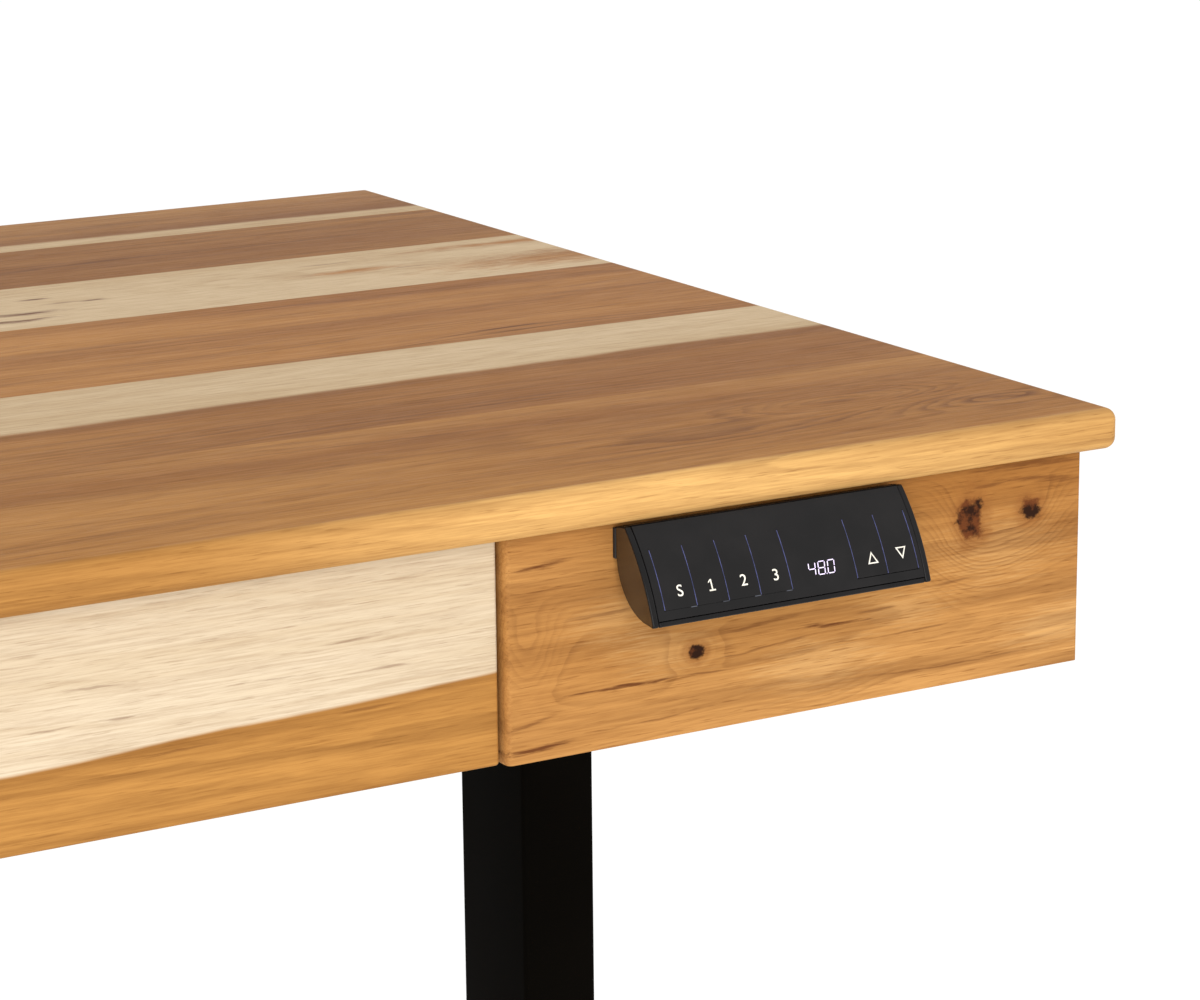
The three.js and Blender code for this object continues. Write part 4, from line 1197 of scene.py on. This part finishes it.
def makeGrooves():
    # the lit edge between neighbouring keys, and the small slit at the foot of each number key, its grey a
    # painted highlight on the slit's edge
    values = handset
    pitch, top, bottom, groove = values["keyPitch"], values["keyTop"], values["keyBottom"], values["groove"]
    lines, slits = [], []
    row = [values["rowStart"] + pitch * step for step in range(5)]
    arrows = [values["arrowStart"] + pitch * step for step in range(3)]
    for x in row + arrows:
        line = cube("grooveLine", (x - groove["half"], -(bottom - groove["inset"]), -groove["deep"]),
                    (x + groove["half"], -(top + groove["inset"]), groove["high"]))
        activate(line)
        bpy.ops.object.mode_set(mode="EDIT")
        for step in range(1, groove["steps"]):
            bpy.ops.mesh.select_all(action="SELECT")
            along = top + (bottom - top) * step / groove["steps"]
            bpy.ops.mesh.bisect(plane_co=(0, -along, 0), plane_no=(0, 1, 0))
        leaveEdit()
        lines.append(line)
    slit = values["slit"]
    for x in row[1:]:
        slits.append(cube("slit", (x - slit["long"], -(bottom + slit["below"]), -slit["deep"]),
                          (x - slit["gap"], -(bottom - slit["above"]), slit["high"])))
    film, gap, strip = [], values["keyGap"], values["film"]
    for first, last in ((row[0], row[-1]), (arrows[0], arrows[-1])):
        film.append(cube("film", (first, -(top + strip["lap"]), -strip["deep"]),
                         (last, -(top - gap - strip["lap"]), strip["high"])))
    film.append(cube("film", (row[0], -(bottom + gap + strip["footDrop"]), -strip["footDeep"]),
                     (row[-1], -(bottom + strip["footLap"]), 0.0)))
    # the slits' grey paints a highlight on their edge
    for name, parts, material in (("groove_lines", lines, "grooveBlue"), ("key_slits", slits, "slitGrey"),
                                  ("key_film", film, "glossBlack")):
        piece = join(parts)
        piece.name = name
        layOnFace(piece, 0, 0)
        finishPiece(piece, "handset_fascia", finish[material], replaces=False)


def capFaces(cap):
    # the flat of an end cap is smoked plastic whose brown is mostly a painted reflection of the wooden apron
    # beside it, its rounded rim black
    cap.data.materials.clear()
    for look in ("housingBlack", "smokedPlastic"):
        cap.data.materials.append(finish[look])
    for face in cap.data.polygons:
        face.material_index = int(abs(face.normal.x) > 0.99)


def makeHandset():
    for cadNode, name, width, look in (
            ("handset_plate", "handset_back_plate", 0.4 * mm, "blackPlastic"),
            ("handset_housing", "handset_shell", 0.5 * mm, "housingBlack"),
            ("handset_fascia", "handset_face", 0.06 * mm, "glossBlack"),
            ("handset_end_cap_left", "handset_cap_left", 0.7 * mm, "capLook"),
            ("handset_end_cap_right", "handset_cap_right", 0.7 * mm, "capLook")):
        piece = refined(cadNode, name)
        ease(piece, width, 3, 30)
        if look == "capLook":
            capFaces(piece)
        finishPiece(piece, cadNode, finish.get(look))
    for cadNode in [name for name in slotOf if name.startswith("key_")]:
        easedPiece(cadNode, cadNode + "_cap", 0.12 * mm, "glossBlack", 2, 30)
    for cadNode, (text, x) in handset["labels"].items():
        makeLabel(cadNode, text, x)
    for cadNode, (x, way) in handset["arrows"].items():
        makeArrow(cadNode, x, way)
    makeDisplay()
    makeGrooves()
    board = refined("handset_circuit_board", "handset_board")
    ease(board, 0.2 * mm)
    finishPiece(board, "handset_circuit_board", circuitMaterial())
    print("hand control made")


setCamera()
setStudio()
trunkRings = makeTrunkRings()
knotSwirl = makeKnotSwirl()
mineralStreak = makeMineralStreak()
surfaceWear = makeWearGroup()
finish = {name: finishMaterial(name) for name in finishes}
makeDesktop()
makeApron()
makeDrawer()
tinyBolt = makeColumns()
makeGlides()
makeDrives(tinyBolt)
makeRunners()
makeControlBox(tinyBolt)
makeHandset()
bpy.data.objects.remove(tinyBolt)
